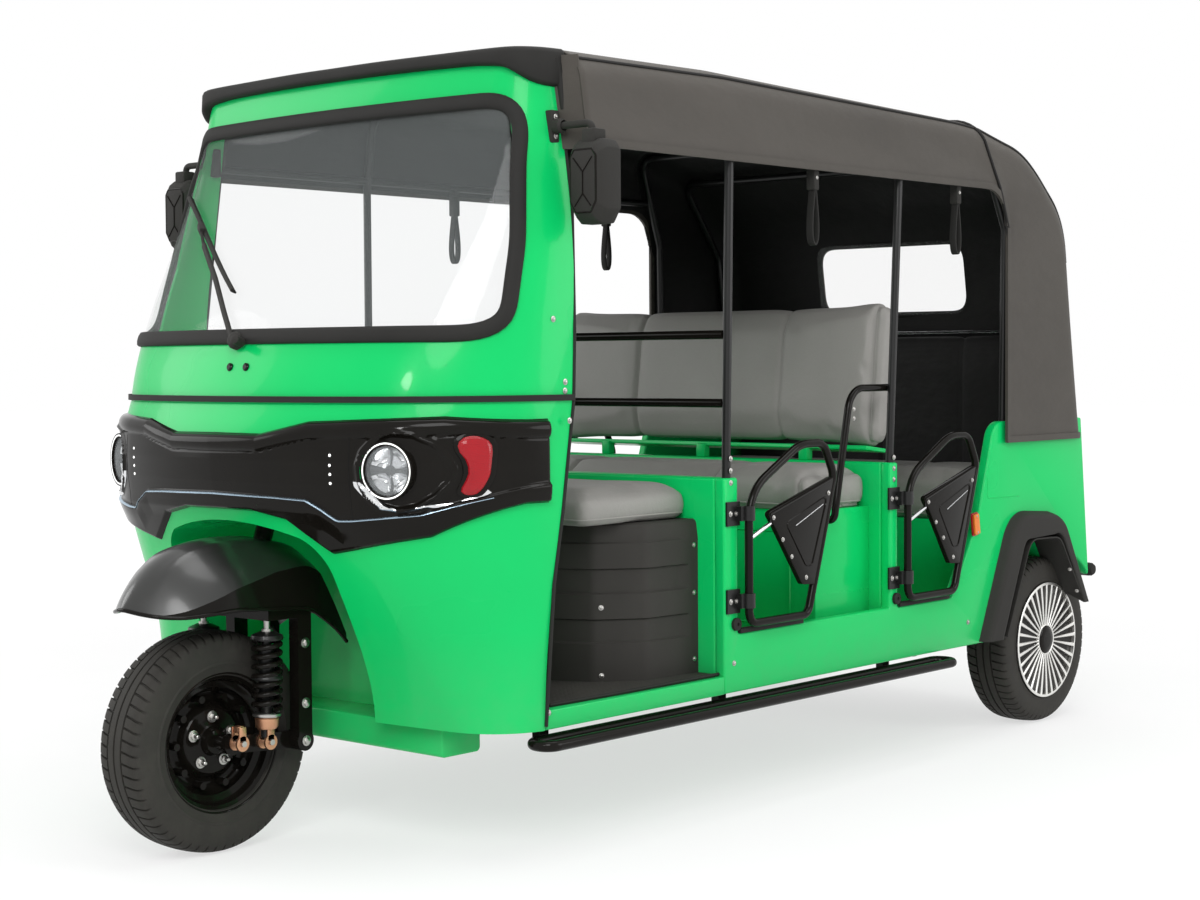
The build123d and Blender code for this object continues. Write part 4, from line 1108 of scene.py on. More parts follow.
def mask_share(part, z):
    """Share of the cowl's skin at a part of the mask, which ends before the cab's rear edge."""
    key = round(z, 4)
    if key not in MASK_ENDS:
        low, high = 0.5, 1.0
        for _ in range(24):
            middle = (low + high) / 2
            if cowl_point(middle, z).y < FRONT + MASK_END:
                low = middle
            else:
                high = middle
        MASK_ENDS[key] = low
    return part * MASK_ENDS[key]


def mask_height(x, z, low, high):
    """How far the mask stands off the cowl."""
    up = z - low
    down = high - z
    end_x, end_z = CREASE[-1]
    crease = between(CREASE, x) if x < end_x else end_z + (x - end_x) * 0.5
    panel = PANEL_HEIGHT + (CREASE_HEIGHT - PANEL_HEIGHT) * eased(crease - z, -0.006, 0.004)
    panel -= 0.007 * eased(crease - z, 0.006, 0.060)
    rise = max(0.0, 1 - ((down - RIDGE / 2) / (RIDGE / 2)) ** 2)
    ridge = RIDGE_HEIGHT * math.sqrt(rise) if down < RIDGE else 0.0
    height = max(panel * eased(down, RIDGE * 0.72, RIDGE * 1.02) + 0.002, ridge)
    eye = inside_by(EYE_SMOOTH, x, z)
    if eye > -0.016:
        rim = 0.007 * math.exp(-(((eye + 0.001) / 0.0055) ** 2))
        height = height * (1 - eased(eye, -0.002, 0.005)) + 0.0095 * eased(eye, -0.002, 0.005) + rim
    return height * eased(min(up, down), -0.001, 0.007)


def mask_half():
    """Left half of the mask: a fine sheet over the cowl, open at the lamp."""
    columns, rows = 250, 84
    rings = []
    for i in range(columns + 1):
        part = i / columns
        x = cowl_point(mask_share(part, 0.880), 0.880, PANEL_HEIGHT).x
        low, high = between(MASK_LOW, x), between(MASK_HIGH, x)
        ring = []
        for j in range(rows + 1):
            z = low + (high - low) * j / rows
            share = mask_share(part, z)
            local = cowl_point(share, z, PANEL_HEIGHT).x
            height = mask_height(local, z, low, high) * eased(1 - part, -0.001, 0.006)
            ring.append(cowl_point(share, z, height))
        rings.append(ring)
    sheet = skin(rings, round_ring=False)
    spot, way = lamp_axis(1)
    keep = []
    for face in sheet.faces:
        middle = sum((sheet.corners[i] for i in face), Vector()) / len(face)
        off = middle - spot
        if (off - way * off.dot(way)).length > LAMP_HOLE:
            keep.append(face)
    sheet.faces = keep
    return sheet


def lamp_axis(side):
    x, back, z = LAMP_SPOT
    way = Vector((side * math.sin(LAMP_TURN), -math.cos(LAMP_TURN), 0))
    return at(side * x, back, z), way


def mask_skin_point(x, z, proud):
    """Point standing proud of the finished mask at the left-hand (x, z)."""
    low, high = between(MASK_LOW, x), between(MASK_HIGH, x)
    return on_cowl(x, z, mask_height(x, z, low, high) + proud)


def ribbon(first, second, proud, steps=24):
    """Raised strip on the mask between two lines of (x, z)."""
    def along(line, t):
        lengths = [math.dist(a, b) for a, b in zip(line, line[1:])]
        reach = t * sum(lengths)
        for (a, b), span in zip(zip(line, line[1:]), lengths):
            if reach <= span or (a, b) == (line[-2], line[-1]):
                part = min(1.0, reach / span)
                return a[0] + (b[0] - a[0]) * part, a[1] + (b[1] - a[1]) * part
            reach -= span

    rings = []
    for i in range(steps + 1):
        (ax, az), (bx, bz) = along(first, i / steps), along(second, i / steps)
        ring = []
        for share, rise in (
            (0, -0.003), (0, proud * 0.6), (0.3, proud), (0.7, proud), (1, proud * 0.6), (1, -0.003)
        ):
            ring.append(mask_skin_point(ax + (bx - ax) * share, az + (bz - az) * share, rise))
        rings.append(ring)
    return skin(rings)


def line_pair(line, half):
    return [(x, z - half) for x, z in line], [(x, z + half) for x, z in line]


CRESCENT = (
    [(0.410, 0.858), (0.412, 0.847), (0.431, 0.823), (0.462, 0.797), (0.493, 0.791)],
    [(0.428, 0.857), (0.440, 0.840), (0.455, 0.824), (0.476, 0.808), (0.494, 0.797)],
)
OUTER_GLINT = (
    [(0.526, 0.799), (0.560, 0.801), (0.590, 0.804), (0.612, 0.815), (0.628, 0.832)],
    [(0.528, 0.804), (0.560, 0.808), (0.588, 0.812), (0.607, 0.824), (0.623, 0.841)],
)
DOT_X, DOT_HEIGHTS = 0.355, (0.853, 0.873, 0.893, 0.915)


class RickshawMask(bpy.types.Operator):
    """Moulds the gloss black mask across the nose, with its ridge, crease and bright lines."""

    bl_idname = "rickshaw.mask"
    bl_label = "Front mask"

    def execute(self, context):
        shell = mask_half().both_sides()
        piece("mask_shell", shell, "gloss_black", hides=("front_mask",), keep_sharp=60)
        accent = ribbon(*line_pair(CREASE, 0.0022), 0.0025, 70)
        piece("mask_accent_line", accent.both_sides(), "accent")
        bright = ribbon(*CRESCENT, 0.002).take(ribbon(*OUTER_GLINT, 0.002))
        piece("mask_bright_crescents", bright.both_sides(), "chrome")
        dots = Shape()
        for z in DOT_HEIGHTS:
            spot = mask_skin_point(DOT_X, z, 0)
            dots.take(
                lathe(
                    [(0, 0.0033), (0.001, 0.0033), (0.0018, 0.002), (0.002, 0)], 16, closed=False
                ),
                facing(spot, (0.2, -1, 0)),
            )
        piece("mask_dots", dots.both_sides(), "ring_white")
        seam = ribbon(
            [(0.4000, 0.765), (0.4003, 0.955)], [(0.4014, 0.765), (0.4017, 0.955)], 0.0004, 40
        )
        piece("mask_seams", seam.both_sides(), "dark_hollow")
        return {"FINISHED"}


KIDNEY_ROWS = [  # height, inner x, outer x
    (0.8280, 0.599, 0.608), (0.8305, 0.5955, 0.613), (0.8360, 0.5925, 0.6165),
    (0.8450, 0.5935, 0.6205), (0.8600, 0.5985, 0.6250), (0.8760, 0.6015, 0.6275),
    (0.8900, 0.6010, 0.6280), (0.9060, 0.5975, 0.6285), (0.9220, 0.5900, 0.6290),
    (0.9360, 0.5870, 0.6280), (0.9460, 0.5890, 0.6245), (0.9530, 0.5930, 0.6180),
    (0.9570, 0.6000, 0.6120),
]


def kidney(grow, proud, dome):
    """Left kidney-shaped plate on the mask."""
    rings = []
    low, high = KIDNEY_ROWS[0][0], KIDNEY_ROWS[-1][0]
    middle = (low + high) / 2
    for z, inner, outer in KIDNEY_ROWS:
        ring = []
        end = 1 - abs(z - middle) / (high - middle)
        for j in range(13):
            t = j / 12
            x = inner - grow + (outer - inner + 2 * grow) * t
            swell = math.sqrt(max(0.0, 1 - (2 * t - 1) ** 4)) * min(1.0, end * 5 + 0.15)
            ring.append(
                on_cowl(x, middle + (z - middle) * (1 + grow / 0.066), proud + dome * swell)
            )
        back = [
            on_cowl(inner - grow + (outer - inner + 2 * grow) * j / 12, z, 0.004)
            for j in range(12, -1, -1)
        ]
        rings.append(ring + back)
    return skin(rings)


HEADLAMP_BARREL = [
    (-0.045, 0.0560), (0.014, 0.0640), (0.026, 0.0665), (0.030, 0.0655), (0.0295, 0.0560),
    (0.016, 0.0530), (-0.040, 0.0500),
]
HEADLAMP_BOWL = [
    (0.0170, 0.0540), (-0.0060, 0.0500), (-0.0260, 0.0400), (-0.0360, 0.0240), (-0.0390, 0.0)
]
HEADLAMP_LENS = [
    (0.0240, 0.0570), (0.0262, 0.0500), (0.0290, 0.0350), (0.0304, 0.0180), (0.0308, 0.0),
    (0.0290, 0.0), (0.0286, 0.0180), (0.0272, 0.0350), (0.0244, 0.0495), (0.0225, 0.0560),
]
DISH_INNER, DISH_OUTER, DISH_DEPTH = 0.012, 0.0505, 0.024


def petal(low_turn, high_turn):
    """One reflector dish of a headlamp, facing along +X, between two turns in degrees."""
    rings = []
    steps = 14
    for i in range(steps + 1):
        u = i / steps
        turn = math.radians(low_turn + (high_turn - low_turn) * u)
        ring = []
        for j in range(11):
            t = j / 10
            r = DISH_INNER + (DISH_OUTER - DISH_INNER) * t
            bow = 1 - (2 * t - 1) ** 2
            arc = 1 - (2 * u - 1) ** 2
            x = 0.010 - DISH_DEPTH * bow * (0.35 + 0.65 * arc)
            ring.append(Vector((x, r * math.cos(turn), r * math.sin(turn))))
        rings.append(ring)
    return skin(rings, round_ring=False)


class RickshawLamps(bpy.types.Operator):
    """Builds the headlamps, the red and amber markers and the frames of the tail lamps."""

    bl_idname = "rickshaw.lamps"
    bl_label = "Lamps"

    def execute(self, context):
        barrels, rings, bowls, petals, lenses, caps = (Shape() for _ in range(6))
        for side, _ in SIDES:
            place = facing(*lamp_axis(side))
            barrels.take(lathe(HEADLAMP_BARREL, 72), place)
            rings.take(
                sweep(
                    [Vector((0.0265, u, v)) for u, v in circle(LAMP_HOLE, 72)],
                    circle(0.0038, 10),
                    closed=True,
                    up=(1, 0, 0),
                ),
                place,
            )
            bowls.take(lathe(HEADLAMP_BOWL, 64, closed=False), place)
            lenses.take(lathe(HEADLAMP_LENS, 64, closed=False), place)
            for low, high in ((14, 84), (96, 166), (194, 264), (276, 346)):
                petals.take(petal(low, high), place)
            caps.take(
                lathe(
                    [
                        (-0.03, 0.0125), (0.012, 0.0125), (0.0155, 0.0105), (0.017, 0.006),
                        (0.0172, 0),
                    ],
                    32,
                    closed=False,
                ),
                place,
            )
            caps.take(brick((0.006, -0.0505, -0.0052), (0.0125, 0.0505, 0.0052), 0.002), place)
        piece("headlamp_barrels", barrels, "gloss_black", hides=("headlamps",))
        piece("headlamp_rings", rings, "ring_white")
        piece("headlamp_bowls", bowls, "gloss_black")
        piece("headlamp_dishes", petals, "chrome", keep_sharp=60)
        piece("headlamp_lenses", lenses, "lamp_clear")
        piece("headlamp_caps", caps, "gloss_black")
        piece(
            "marker_lenses",
            kidney(0, 0.016, 0.009).both_sides(),
            "lamp_red",
            hides=("marker_lamps",),
        )
        piece("marker_frames", kidney(0.0045, 0.016, 0.003).both_sides(), "gloss_black")
        self.side_markers()
        self.tail_frames()
        return {"FINISHED"}

    def side_markers(self):
        spot = at(HALF_WIDTH, 2.249, 0.641)
        upright = Matrix.Translation(spot) @ Matrix.Rotation(math.radians(8), 4, "X")
        outline = rounded(
            [(-0.014, -0.030), (0.014, -0.030), (0.014, 0.030), (-0.014, 0.030)], 0.006
        )
        frame_line = [(u * 1.28, v * 1.12) for u, v in outline]
        plate = slab(frame_line, lambda u, v, w: upright @ Vector((w, u, v)), 0.0, 0.005, 0.0015)
        glow = slab(outline, lambda u, v, w: upright @ Vector((w, u, v)), 0.004, 0.012, 0.003, 4)
        screws = [(upright @ Vector((0.0118, 0, z)), (1, 0, 0)) for z in (-0.0235, 0.0235)]
        piece("side_marker_frames", plate.both_sides(), "lamp_red")
        piece("side_marker_lenses", glow.both_sides(), "amber")
        bolt_piece("side_marker_screws", screws, 0.0022, twin=True)

    def tail_frames(self):
        lean = math.atan2(0.059, 0.572)
        spot = at(0.560, 2.902 + 0.0005, 0.720)
        turned = Matrix.Translation(spot) @ Matrix.Rotation(-lean, 4, "X")
        outer = rounded([(-0.052, -0.092), (0.052, -0.092), (0.052, 0.092), (-0.052, 0.092)], 0.018)
        inner = rounded([(-0.044, -0.084), (0.044, -0.084), (0.044, 0.084), (-0.044, 0.084)], 0.012)
        rings = []
        for (ou, ov), (iu, iv) in zip(outer, inner):
            rings.append(
                [
                    turned @ Vector(p)
                    for p in (
                        (ou, -0.004, ov), (ou, 0.014, ov),
                        ((ou * 2 + iu) / 3, 0.0205, (ov * 2 + iv) / 3), (iu, 0.0205, iv),
                        (iu, -0.004, iv),
                    )
                ]
            )
        trim = skin(rings, round_path=True)
        bars = Shape()
        for z in (-0.030, 0.028):
            bars.take(brick((-0.044, 0.016, z - 0.002), (0.044, 0.0195, z + 0.002), 0.001), turned)
        piece("tail_lamp_frames", trim.take(bars).both_sides(), "gloss_black")


# ---- front suspension ----
GUARD_ROWS = [  # behind the axle, half width, edge height, crown height
    (-0.224, 0.012, 0.574, 0.582), (-0.206, 0.052, 0.566, 0.612), (-0.178, 0.088, 0.560, 0.644),
    (-0.138, 0.120, 0.558, 0.676), (-0.085, 0.139, 0.562, 0.702), (-0.020, 0.146, 0.566, 0.716),
    (0.040, 0.147, 0.562, 0.720), (0.120, 0.145, 0.556, 0.716), (0.190, 0.141, 0.549, 0.700),
    (0.235, 0.138, 0.526, 0.680), (0.285, 0.132, 0.492, 0.630), (0.322, 0.126, 0.458, 0.520),
]
SKIRT = [
    (-0.224, 0.0), (-0.180, 0.004), (-0.050, 0.036), (0.100, 0.084), (0.240, 0.108), (0.322, 0.020)
]
GUARD_RIB = 0.052


def eased_rows(table, count):
    """Catmull-Rom reading of a table's rows at even steps."""
    made = []
    last = len(table) - 1
    for i in range(count + 1):
        place = i / count * last
        k = min(int(place), last - 1)
        t = place - k
        a, b, c, d = (table[min(last, max(0, k + n))] for n in (-1, 0, 1, 2))
        made.append(
            tuple(
                0.5 * (
                    2 * q
                    + (r - p) * t
                    + (2 * p - 5 * q + 4 * r - s) * t * t
                    + (3 * q - p - 3 * r + s) * t**3
                )
                for p, q, r, s in zip(a, b, c, d)
            )
        )
    return made


def guard_arch(back, half, edge, crown, inset):
    """Cross-section of the mudguard from its left edge over the crown to its right edge."""
    skirt = min(between(SKIRT, back), 0.7 * (crown - edge))
    base = edge + skirt
    rise = crown - inset - base
    points = []
    for i in range(37):
        turn = math.pi * i / 36
        across = math.cos(turn)
        x = (half - inset - skirt * 0.10) * math.copysign(abs(across) ** 0.90, across)
        rib = 0.006 * math.exp(-(((abs(x) - GUARD_RIB) / 0.011) ** 2)) * eased(back, -0.20, -0.10)
        z = base + rise * (1 - abs(across) ** 1.75) + rib
        points.append(at(x, back, z))
    return [at(half - inset, back, edge), *points, at(inset - half, back, edge)]


def guard_shells():
    """The mudguard's crown and its two skirts, each a shell of one thickness."""
    crown_rings, left, right = [], [], []
    for back, half, edge, crown in eased_rows(GUARD_ROWS, 60):
        outer = guard_arch(back, half, edge, crown, 0.0)
        inner = guard_arch(back, half, edge, crown, 0.004)
        crown_rings.append(outer[1:-1] + list(reversed(inner[1:-1])))
        left.append([outer[0], outer[1], inner[1], inner[0]])
        right.append([outer[-1], outer[-2], inner[-2], inner[-1]])
    return skin(crown_rings), skin(left).take(skin(right))


def guard_lip():
    rows = eased_rows(GUARD_ROWS, 60)
    left = [at(half, back, edge) for back, half, edge, _ in rows]
    right = [at(-half, back, edge) for back, half, edge, _ in rows]
    return sweep(list(reversed(left)) + right, circle(0.0048, 10))


class RickshawMudguard(bpy.types.Operator):
    """Moulds the front mudguard with its thick rolled lip."""

    bl_idname = "rickshaw.mudguard"
    bl_label = "Front mudguard"

    def execute(self, context):
        crown, skirts = guard_shells()
        piece(
            "front_mudguard_skirts",
            skirts.take(guard_lip()),
            "gloss_black",
            "steering",
            keep_sharp=60,
        )
        piece(
            "front_mudguard_shell",
            crown,
            "guard_plastic",
            "steering",
            hides=("front_mudguard",),
            keep_sharp=60,
        )
        return {"FINISHED"}


SHOCK_FOOT, SHOCK_HEAD = (0.084, 0.248), (0.089, 0.530)
SHOCK_X = 0.116
COIL_TURNS, COIL_STEPS = 7.5, 165
COIL_LOW, COIL_HIGH = 0.326, 0.483
COIL_RADIUS, COIL_WIRE = 0.0300, 0.0066
SHOCK_PROFILES = [  # (height, radius) of the tube, its top cup, the foot, the lock ring, the head
    [
        (0.262, 0), (0.262, 0.0135), (0.330, 0.0145), (0.335, 0.018), (0.470, 0.018),
        (0.475, 0.011), (0.505, 0.011), (0.505, 0),
    ],
    [(0.486, 0), (0.486, 0.036), (0.490, 0.038), (0.497, 0.036), (0.505, 0.018), (0.505, 0)],
    [(0.282, 0), (0.282, 0.022), (0.287, 0.026), (0.306, 0.028), (0.310, 0.025), (0.310, 0)],
    [(0.310, 0), (0.310, 0.031), (0.312, 0.033), (0.317, 0.033), (0.319, 0.031), (0.319, 0)],
    [
        (0.505, 0), (0.505, 0.012), (0.511, 0.012), (0.511, 0.007), (0.530, 0.007), (0.532, 0.005),
        (0.532, 0),
    ],
]
SHOCK_SEAT = [(0.395, 0), (0.395, 0.034), (0.399, 0.036), (0.405, 0.034), (0.405, 0)]


def shock_point(height, side):
    """Point on a shock's centre line at a height."""
    (foot_back, foot_z), (head_back, head_z) = SHOCK_FOOT, SHOCK_HEAD
    return at(
        side * SHOCK_X,
        foot_back + (head_back - foot_back) * (height - foot_z) / (head_z - foot_z),
        height,
    )


def shock_turned(profile, side):
    """Turns (height, radius) pairs about a shock's centre line."""
    base = shock_point(0.0, side)
    along = facing(base, shock_point(1.0, side) - base, up=(0, 1, 0))
    return Shape().take(lathe(profile, 32, closed=False), along)


def shock_coil(side):
    """The spring, wound a little closer at its ends."""
    path = []
    for i in range(COIL_STEPS + 1):
        part = i / COIL_STEPS
        turn = 2 * math.pi * COIL_TURNS * i / COIL_STEPS
        climb = eased(part, 0.0, 1.0) * 0.12 + part * 0.88
        spot = shock_point(COIL_LOW + (COIL_HIGH - COIL_LOW) * climb, side)
        path.append(spot + Vector((COIL_RADIUS * math.cos(turn), COIL_RADIUS * math.sin(turn), 0)))
    return sweep(path, circle(COIL_WIRE, 10))


class RickshawSuspension(bpy.types.Operator):
    """Builds the front coil shocks with their collars, clevises and the fork's pivot bolts."""

    bl_idname = "rickshaw.suspension"
    bl_label = "Front suspension"

    def execute(self, context):
        dampers, coils, bright, copper = (Shape() for _ in range(4))
        for side, _ in SIDES:
            for shape, profile in zip((dampers, dampers, copper, bright, bright), SHOCK_PROFILES):
                shape.take(shock_turned(profile, side))
            coils.take(shock_coil(side))
            dampers.take(shock_turned(SHOCK_SEAT, side))
            self.clevis(copper, bright, at(side * 0.112, 0.006, 0.262))
            self.clevis(copper, bright, shock_point(0.256, side))
        piece("front_shock_dampers", dampers, "black_steel", "steering", hides=("front_shocks",))
        piece("front_shock_coils", coils, "gloss_black", "steering", keep_sharp=60)
        piece("front_shock_bright_parts", bright, "bolt_zinc", "steering")
        piece("front_shock_copper_parts", copper, "bronze", "steering")
        rows = []
        for side, _ in SIDES:
            rows += [(at(side * 0.133, 0.187, z), (side, 0, 0)) for z in (0.241, 0.470, 0.330)]
        bolt_piece("fork_bolts", rows, 0.0085, "steering")
        return {"FINISHED"}

    def clevis(self, copper, bright, foot):
        """Two eyed plates, their shank and the bolt through them."""
        for step in (-0.013, 0.013):
            copper.take(
                lathe(
                    [(-0.003, 0.007), (-0.003, 0.0175), (0.003, 0.0175), (0.003, 0.007)],
                    28,
                    foot + Vector((step, 0, -0.004)),
                )
            )
            copper.take(
                brick((step - 0.003, -0.010, -0.002), (step + 0.003, 0.010, 0.034), 0.0015),
                Matrix.Translation(foot),
            )
        copper.take(
            brick((-0.010, -0.009, 0.020), (0.010, 0.009, 0.036), 0.003), Matrix.Translation(foot)
        )
        bright.take(
            lathe(
                [(-0.021, 0), (-0.021, 0.0068), (0.021, 0.0068), (0.021, 0)],
                20,
                foot + Vector((0, 0, -0.004)),
                closed=False,
            )
        )


# ---- driver's place ----
BASE_PLAN = [(0.585, 1.080), (0.572, 0.900), (0.489, 0.793), (0.376, 0.742)]
BASE_BANDS = [  # height, how far in
    (0.3350, 0.000), (0.4320, 0.000), (0.4360, 0.007), (0.4880, 0.007), (0.4920, 0.000),
    (0.5520, 0.000), (0.5560, 0.007), (0.6110, 0.007), (0.6150, 0.000), (0.6750, 0.000),
    (0.6790, 0.005), (0.7140, 0.005), (0.7200, 0.008), (0.7240, 0.014),
]
BASE_STEP = 0.018
FLANGE_FROM = 1.040


def base_outline():
    """Plan of the seat base, rear left round the front to rear right, with its inward ways."""
    bends = bent([(x, back, 0) for x, back in BASE_PLAN], 0.055, 7)
    half = bends[:1]
    for a, b in zip(bends, bends[1:]):
        count = max(1, int((b - a).length / BASE_STEP))
        half += [a + (b - a) * (k + 1) / count for k in range(count)]
    half += [Vector((x, BASE_PLAN[-1][1], 0)) for x in (0.25, 0.12, 0.0)]
    line = half + [Vector((-p.x, p.y, 0)) for p in reversed(half[:-1])]
    return [(p, Vector((-way.y, way.x, 0)).normalized()) for p, way in zip(line, travel(line))]


class RickshawDriverPlace(bpy.types.Operator):
    """Moulds the driver's ribbed seat base and lays the rubber floor mat."""

    bl_idname = "rickshaw.driver_place"
    bl_label = "Driver's place"

    def execute(self, context):
        rings = []
        outline = base_outline()
        for z, sunk in BASE_BANDS:
            ring = []
            for p, inward in outline:
                if inward.y < 0 and abs(p.x) < 0.3:
                    inward = Vector((0, 1, 0))
                towards = inward if inward.dot(Vector((0, 0.95, 0)) - p) > 0 else -inward
                share = eased(FLANGE_FROM - p.y, 0.0, 0.004) if z < 0.70 else 1.0
                ring.append(at(p.x, p.y, z) + towards * sunk * share)
            rings.append(ring)
        piece(
            "driver_seat_base_shell",
            skin(rings),
            "base_plastic",
            hides=("driver_seat_base",),
            keep_sharp=28,
        )
        screws = []
        for side, _ in SIDES:
            for z in (0.375, 0.541, 0.660):
                screws.append((at(side * 0.5835, 1.066, z), (side, -0.05, 0)))
            for x, back, z in ((0.501, 0.809, 0.520), (0.501, 0.809, 0.354)):
                screws.append((at(side * x, back, z), (side * 0.79, -0.61, 0)))
        bolt_piece("driver_seat_base_screws", screws, 0.0045)
        mat = rounded(
            [
                (-0.642, 0.470), (0.642, 0.470), (0.650, 0.700), (0.650, 1.078), (-0.650, 1.078),
                (-0.650, 0.700),
            ],
            0.02,
        )
        piece("floor_mat", slab(mat, at, 0.3351, 0.3400, 0.0012), "matting")
        lip = [at(x, back, 0.341) for x, back in ((0.650, 1.078), (0.650, 0.70), (0.642, 0.470))]
        piece("floor_mat_edge", sweep(lip, circle(0.0042, 8)).both_sides(), "black_rubber")
        return {"FINISHED"}


# ---- doors ----
DOORS = [  # name, hinge, top and bottom of the free edge behind the axle
    ("front", 1.152, 1.516, 1.400),
    ("rear", 1.868, 2.222, 2.105),
]
DOOR_X = 0.690
FILLER_LOW, FILLER_FACE = 0.683, 0.6985
FOLD_LOW, FOLD_TOP = 0.6975, 0.7005
HINGE_HEIGHTS = (0.520, 0.738)
HINGE_BOLT_STEPS = (-0.053, -0.030)


def door_shapes(hinge, top, bottom):
    """Left door's tube frame, filler, folds, brace and bolts, measured behind the axle."""
    corners = [
        (hinge, 0.462, 0.035), (hinge, 0.790, 0.130), (hinge + 0.215, 0.903, 0.150),
        (top - 0.044, 0.903, 0.050), (top, 0.818, 0.050), (bottom, 0.462, 0.035),
    ]
    bends = [bend for _, _, bend in corners]
    frame_line = bent([at(DOOR_X, b, z) for b, z, _ in corners], bends, 8, closed=True)
    tube = sweep(frame_line, circle(0.0108, 16), closed=True, up=(1, 0, 0))
    for z in HINGE_HEIGHTS:
        sleeve = brick((0.681, -0.013, -0.013), (0.699, 0.013, 0.013), 0.003)
        tube.take(sleeve, Matrix.Translation(at(0, hinge, z)))
    panel_line = rounded(
        [
            (hinge + 0.066, 0.735), (top - 0.006, 0.818), (bottom + 0.026, 0.538),
            (bottom - 0.034, 0.543), (hinge + 0.096, 0.700),
        ],
        0.012,
    )
    panel = slab(panel_line, lambda u, v, w: at(w, u, v), FILLER_LOW, FILLER_FACE, 0.004, 3)
    recess = rounded(
        [
            (hinge + 0.140, 0.706), (top - 0.034, 0.772), (bottom + 0.008, 0.585),
            (bottom - 0.020, 0.588),
        ],
        0.014,
    )
    middle_u, middle_v = (sum(corner) / len(recess) for corner in zip(*recess))
    folds = []
    for u, v in recess:
        iu, iv = middle_u + (u - middle_u) * 0.93, middle_v + (v - middle_v) * 0.93
        outer, inner = ((u * 2 + iu) / 3, (v * 2 + iv) / 3), ((u + iu * 2) / 3, (v + iv * 2) / 3)
        top_edges = [at(FOLD_TOP, *outer), at(FOLD_TOP, *inner)]
        folds.append([at(FOLD_LOW, u, v), *top_edges, at(FOLD_LOW, iu, iv)])
    fold = skin(folds, round_path=True)
    light_edge = sweep(
        [at(FILLER_FACE, hinge + 0.076, 0.7310), at(FILLER_FACE, top - 0.020, 0.8095)],
        circle(0.0035, 8),
    )
    accent = sweep(
        [at(0.6995, hinge + 0.185, 0.6960), at(0.6995, top - 0.060, 0.7440)], circle(0.0013, 6)
    )
    brace = sweep(
        [at(DOOR_X, hinge + 0.004, 0.674), at(DOOR_X, hinge + 0.100, 0.712)], circle(0.0052, 12)
    )
    places = [
        (hinge + 0.092, 0.722), (hinge + 0.130, 0.664), (hinge + 0.168, 0.618),
        (bottom - 0.018, 0.560), (top - 0.034, 0.772),
    ]
    rows = [(at(FILLER_FACE, back, z), (1, 0, 0)) for back, z in places]
    return tube, panel.take(fold).take(light_edge), accent.take(brace), bolts(rows, 0.0042)


class RickshawDoors(bpy.types.Operator):
    """Bends the four tubular half doors and fits their moulded fillers, braces and bolts."""

    bl_idname = "rickshaw.doors"
    bl_label = "Half doors"

    def execute(self, context):
        for which, hinge, top, bottom in DOORS:
            tube, panel, bright, fixings = door_shapes(hinge, top, bottom)
            for side, word in SIDES:
                node = f"{which}_door_{word}"
                piece(
                    f"{node}_tubes",
                    tube.on_side(side),
                    "gloss_black",
                    node,
                    (node,),
                    keep_sharp=50,
                )
                piece(f"{node}_filler", panel.on_side(side), "gloss_black", node)
                piece(f"{node}_brace", bright.on_side(side), "chrome", node)
                piece(f"{node}_bolts", fixings.on_side(side), "bolt_zinc", node)
        rows = []
        for _, hinge, _, _ in DOORS:
            for z in HINGE_HEIGHTS:
                for side, _ in SIDES:
                    for step in HINGE_BOLT_STEPS:
                        rows.append((at(side * 0.674, hinge + step, z), (side, 0, 0)))
        bolt_piece("hinge_bolts", rows, 0.0050)
        channel, pads = Shape(), Shape()
        for _, hinge, _, bottom in DOORS:
            channel.take(
                brick(
                    (0.652, FRONT + hinge - 0.012, 0.4375),
                    (0.6735, FRONT + bottom + 0.006, 0.4490), 0.002,
                )
            )
            pads.take(
                lathe(
                    [
                        (0, 0), (0, 0.016), (0.008, 0.016), (0.010, 0.012), (0.010, 0.005),
                        (0.006, 0.004), (0.006, 0),
                    ],
                    28,
                    at(HALF_WIDTH, hinge - 0.028, 0.462),
                    closed=False,
                )
            )
        piece("door_sill_channels", channel.both_sides(), "black_rubber")
        piece("door_stop_pads", pads.both_sides(), "black_rubber")
        return {"FINISHED"}


# ---- bodywork ----
SOFTENED = [  # node, edge radius
    ("side_panels", 0.006), ("bulkheads", 0.007), ("mid_seat_base", 0.007),
    ("rear_seat_base", 0.007), ("tail_panel", 0.006), ("floor_pan", 0.004),
    ("backrest_board", 0.005), ("front_cross_member", 0.005), ("battery_pack", 0.006),
    ("leaf_springs", 0.003),
]
# front of the middle seat's base, and the middle of the wheel arch, behind the axle
BASE_FRONT = 1.560
ARCH_MIDDLE = 2.62
# top front corner of the rear side panel: behind the axle, height, radius
PANEL_CORNER = (2.362, 0.934, 0.045)
# wheel-arch lip: its middle line (behind the axle, height), and its fold as (towards the arch,
# outwards)
FLARE_PATH = [(2.322, 0.296), (2.470, 0.622), (2.716, 0.618), (2.866, 0.362)]
FLARE_FOLD = [(0.040, -0.050), (0.040, 0.030), (0.030, 0.032), (-0.030, 0.031), (-0.043, -0.001)]
LINERS = (  # name, look, inner x, outer x
    ("wheel_house_liners", "body_green", 0.500, 0.600),
    ("wheel_house_returns", "black_plastic", 0.600, 0.697),
)


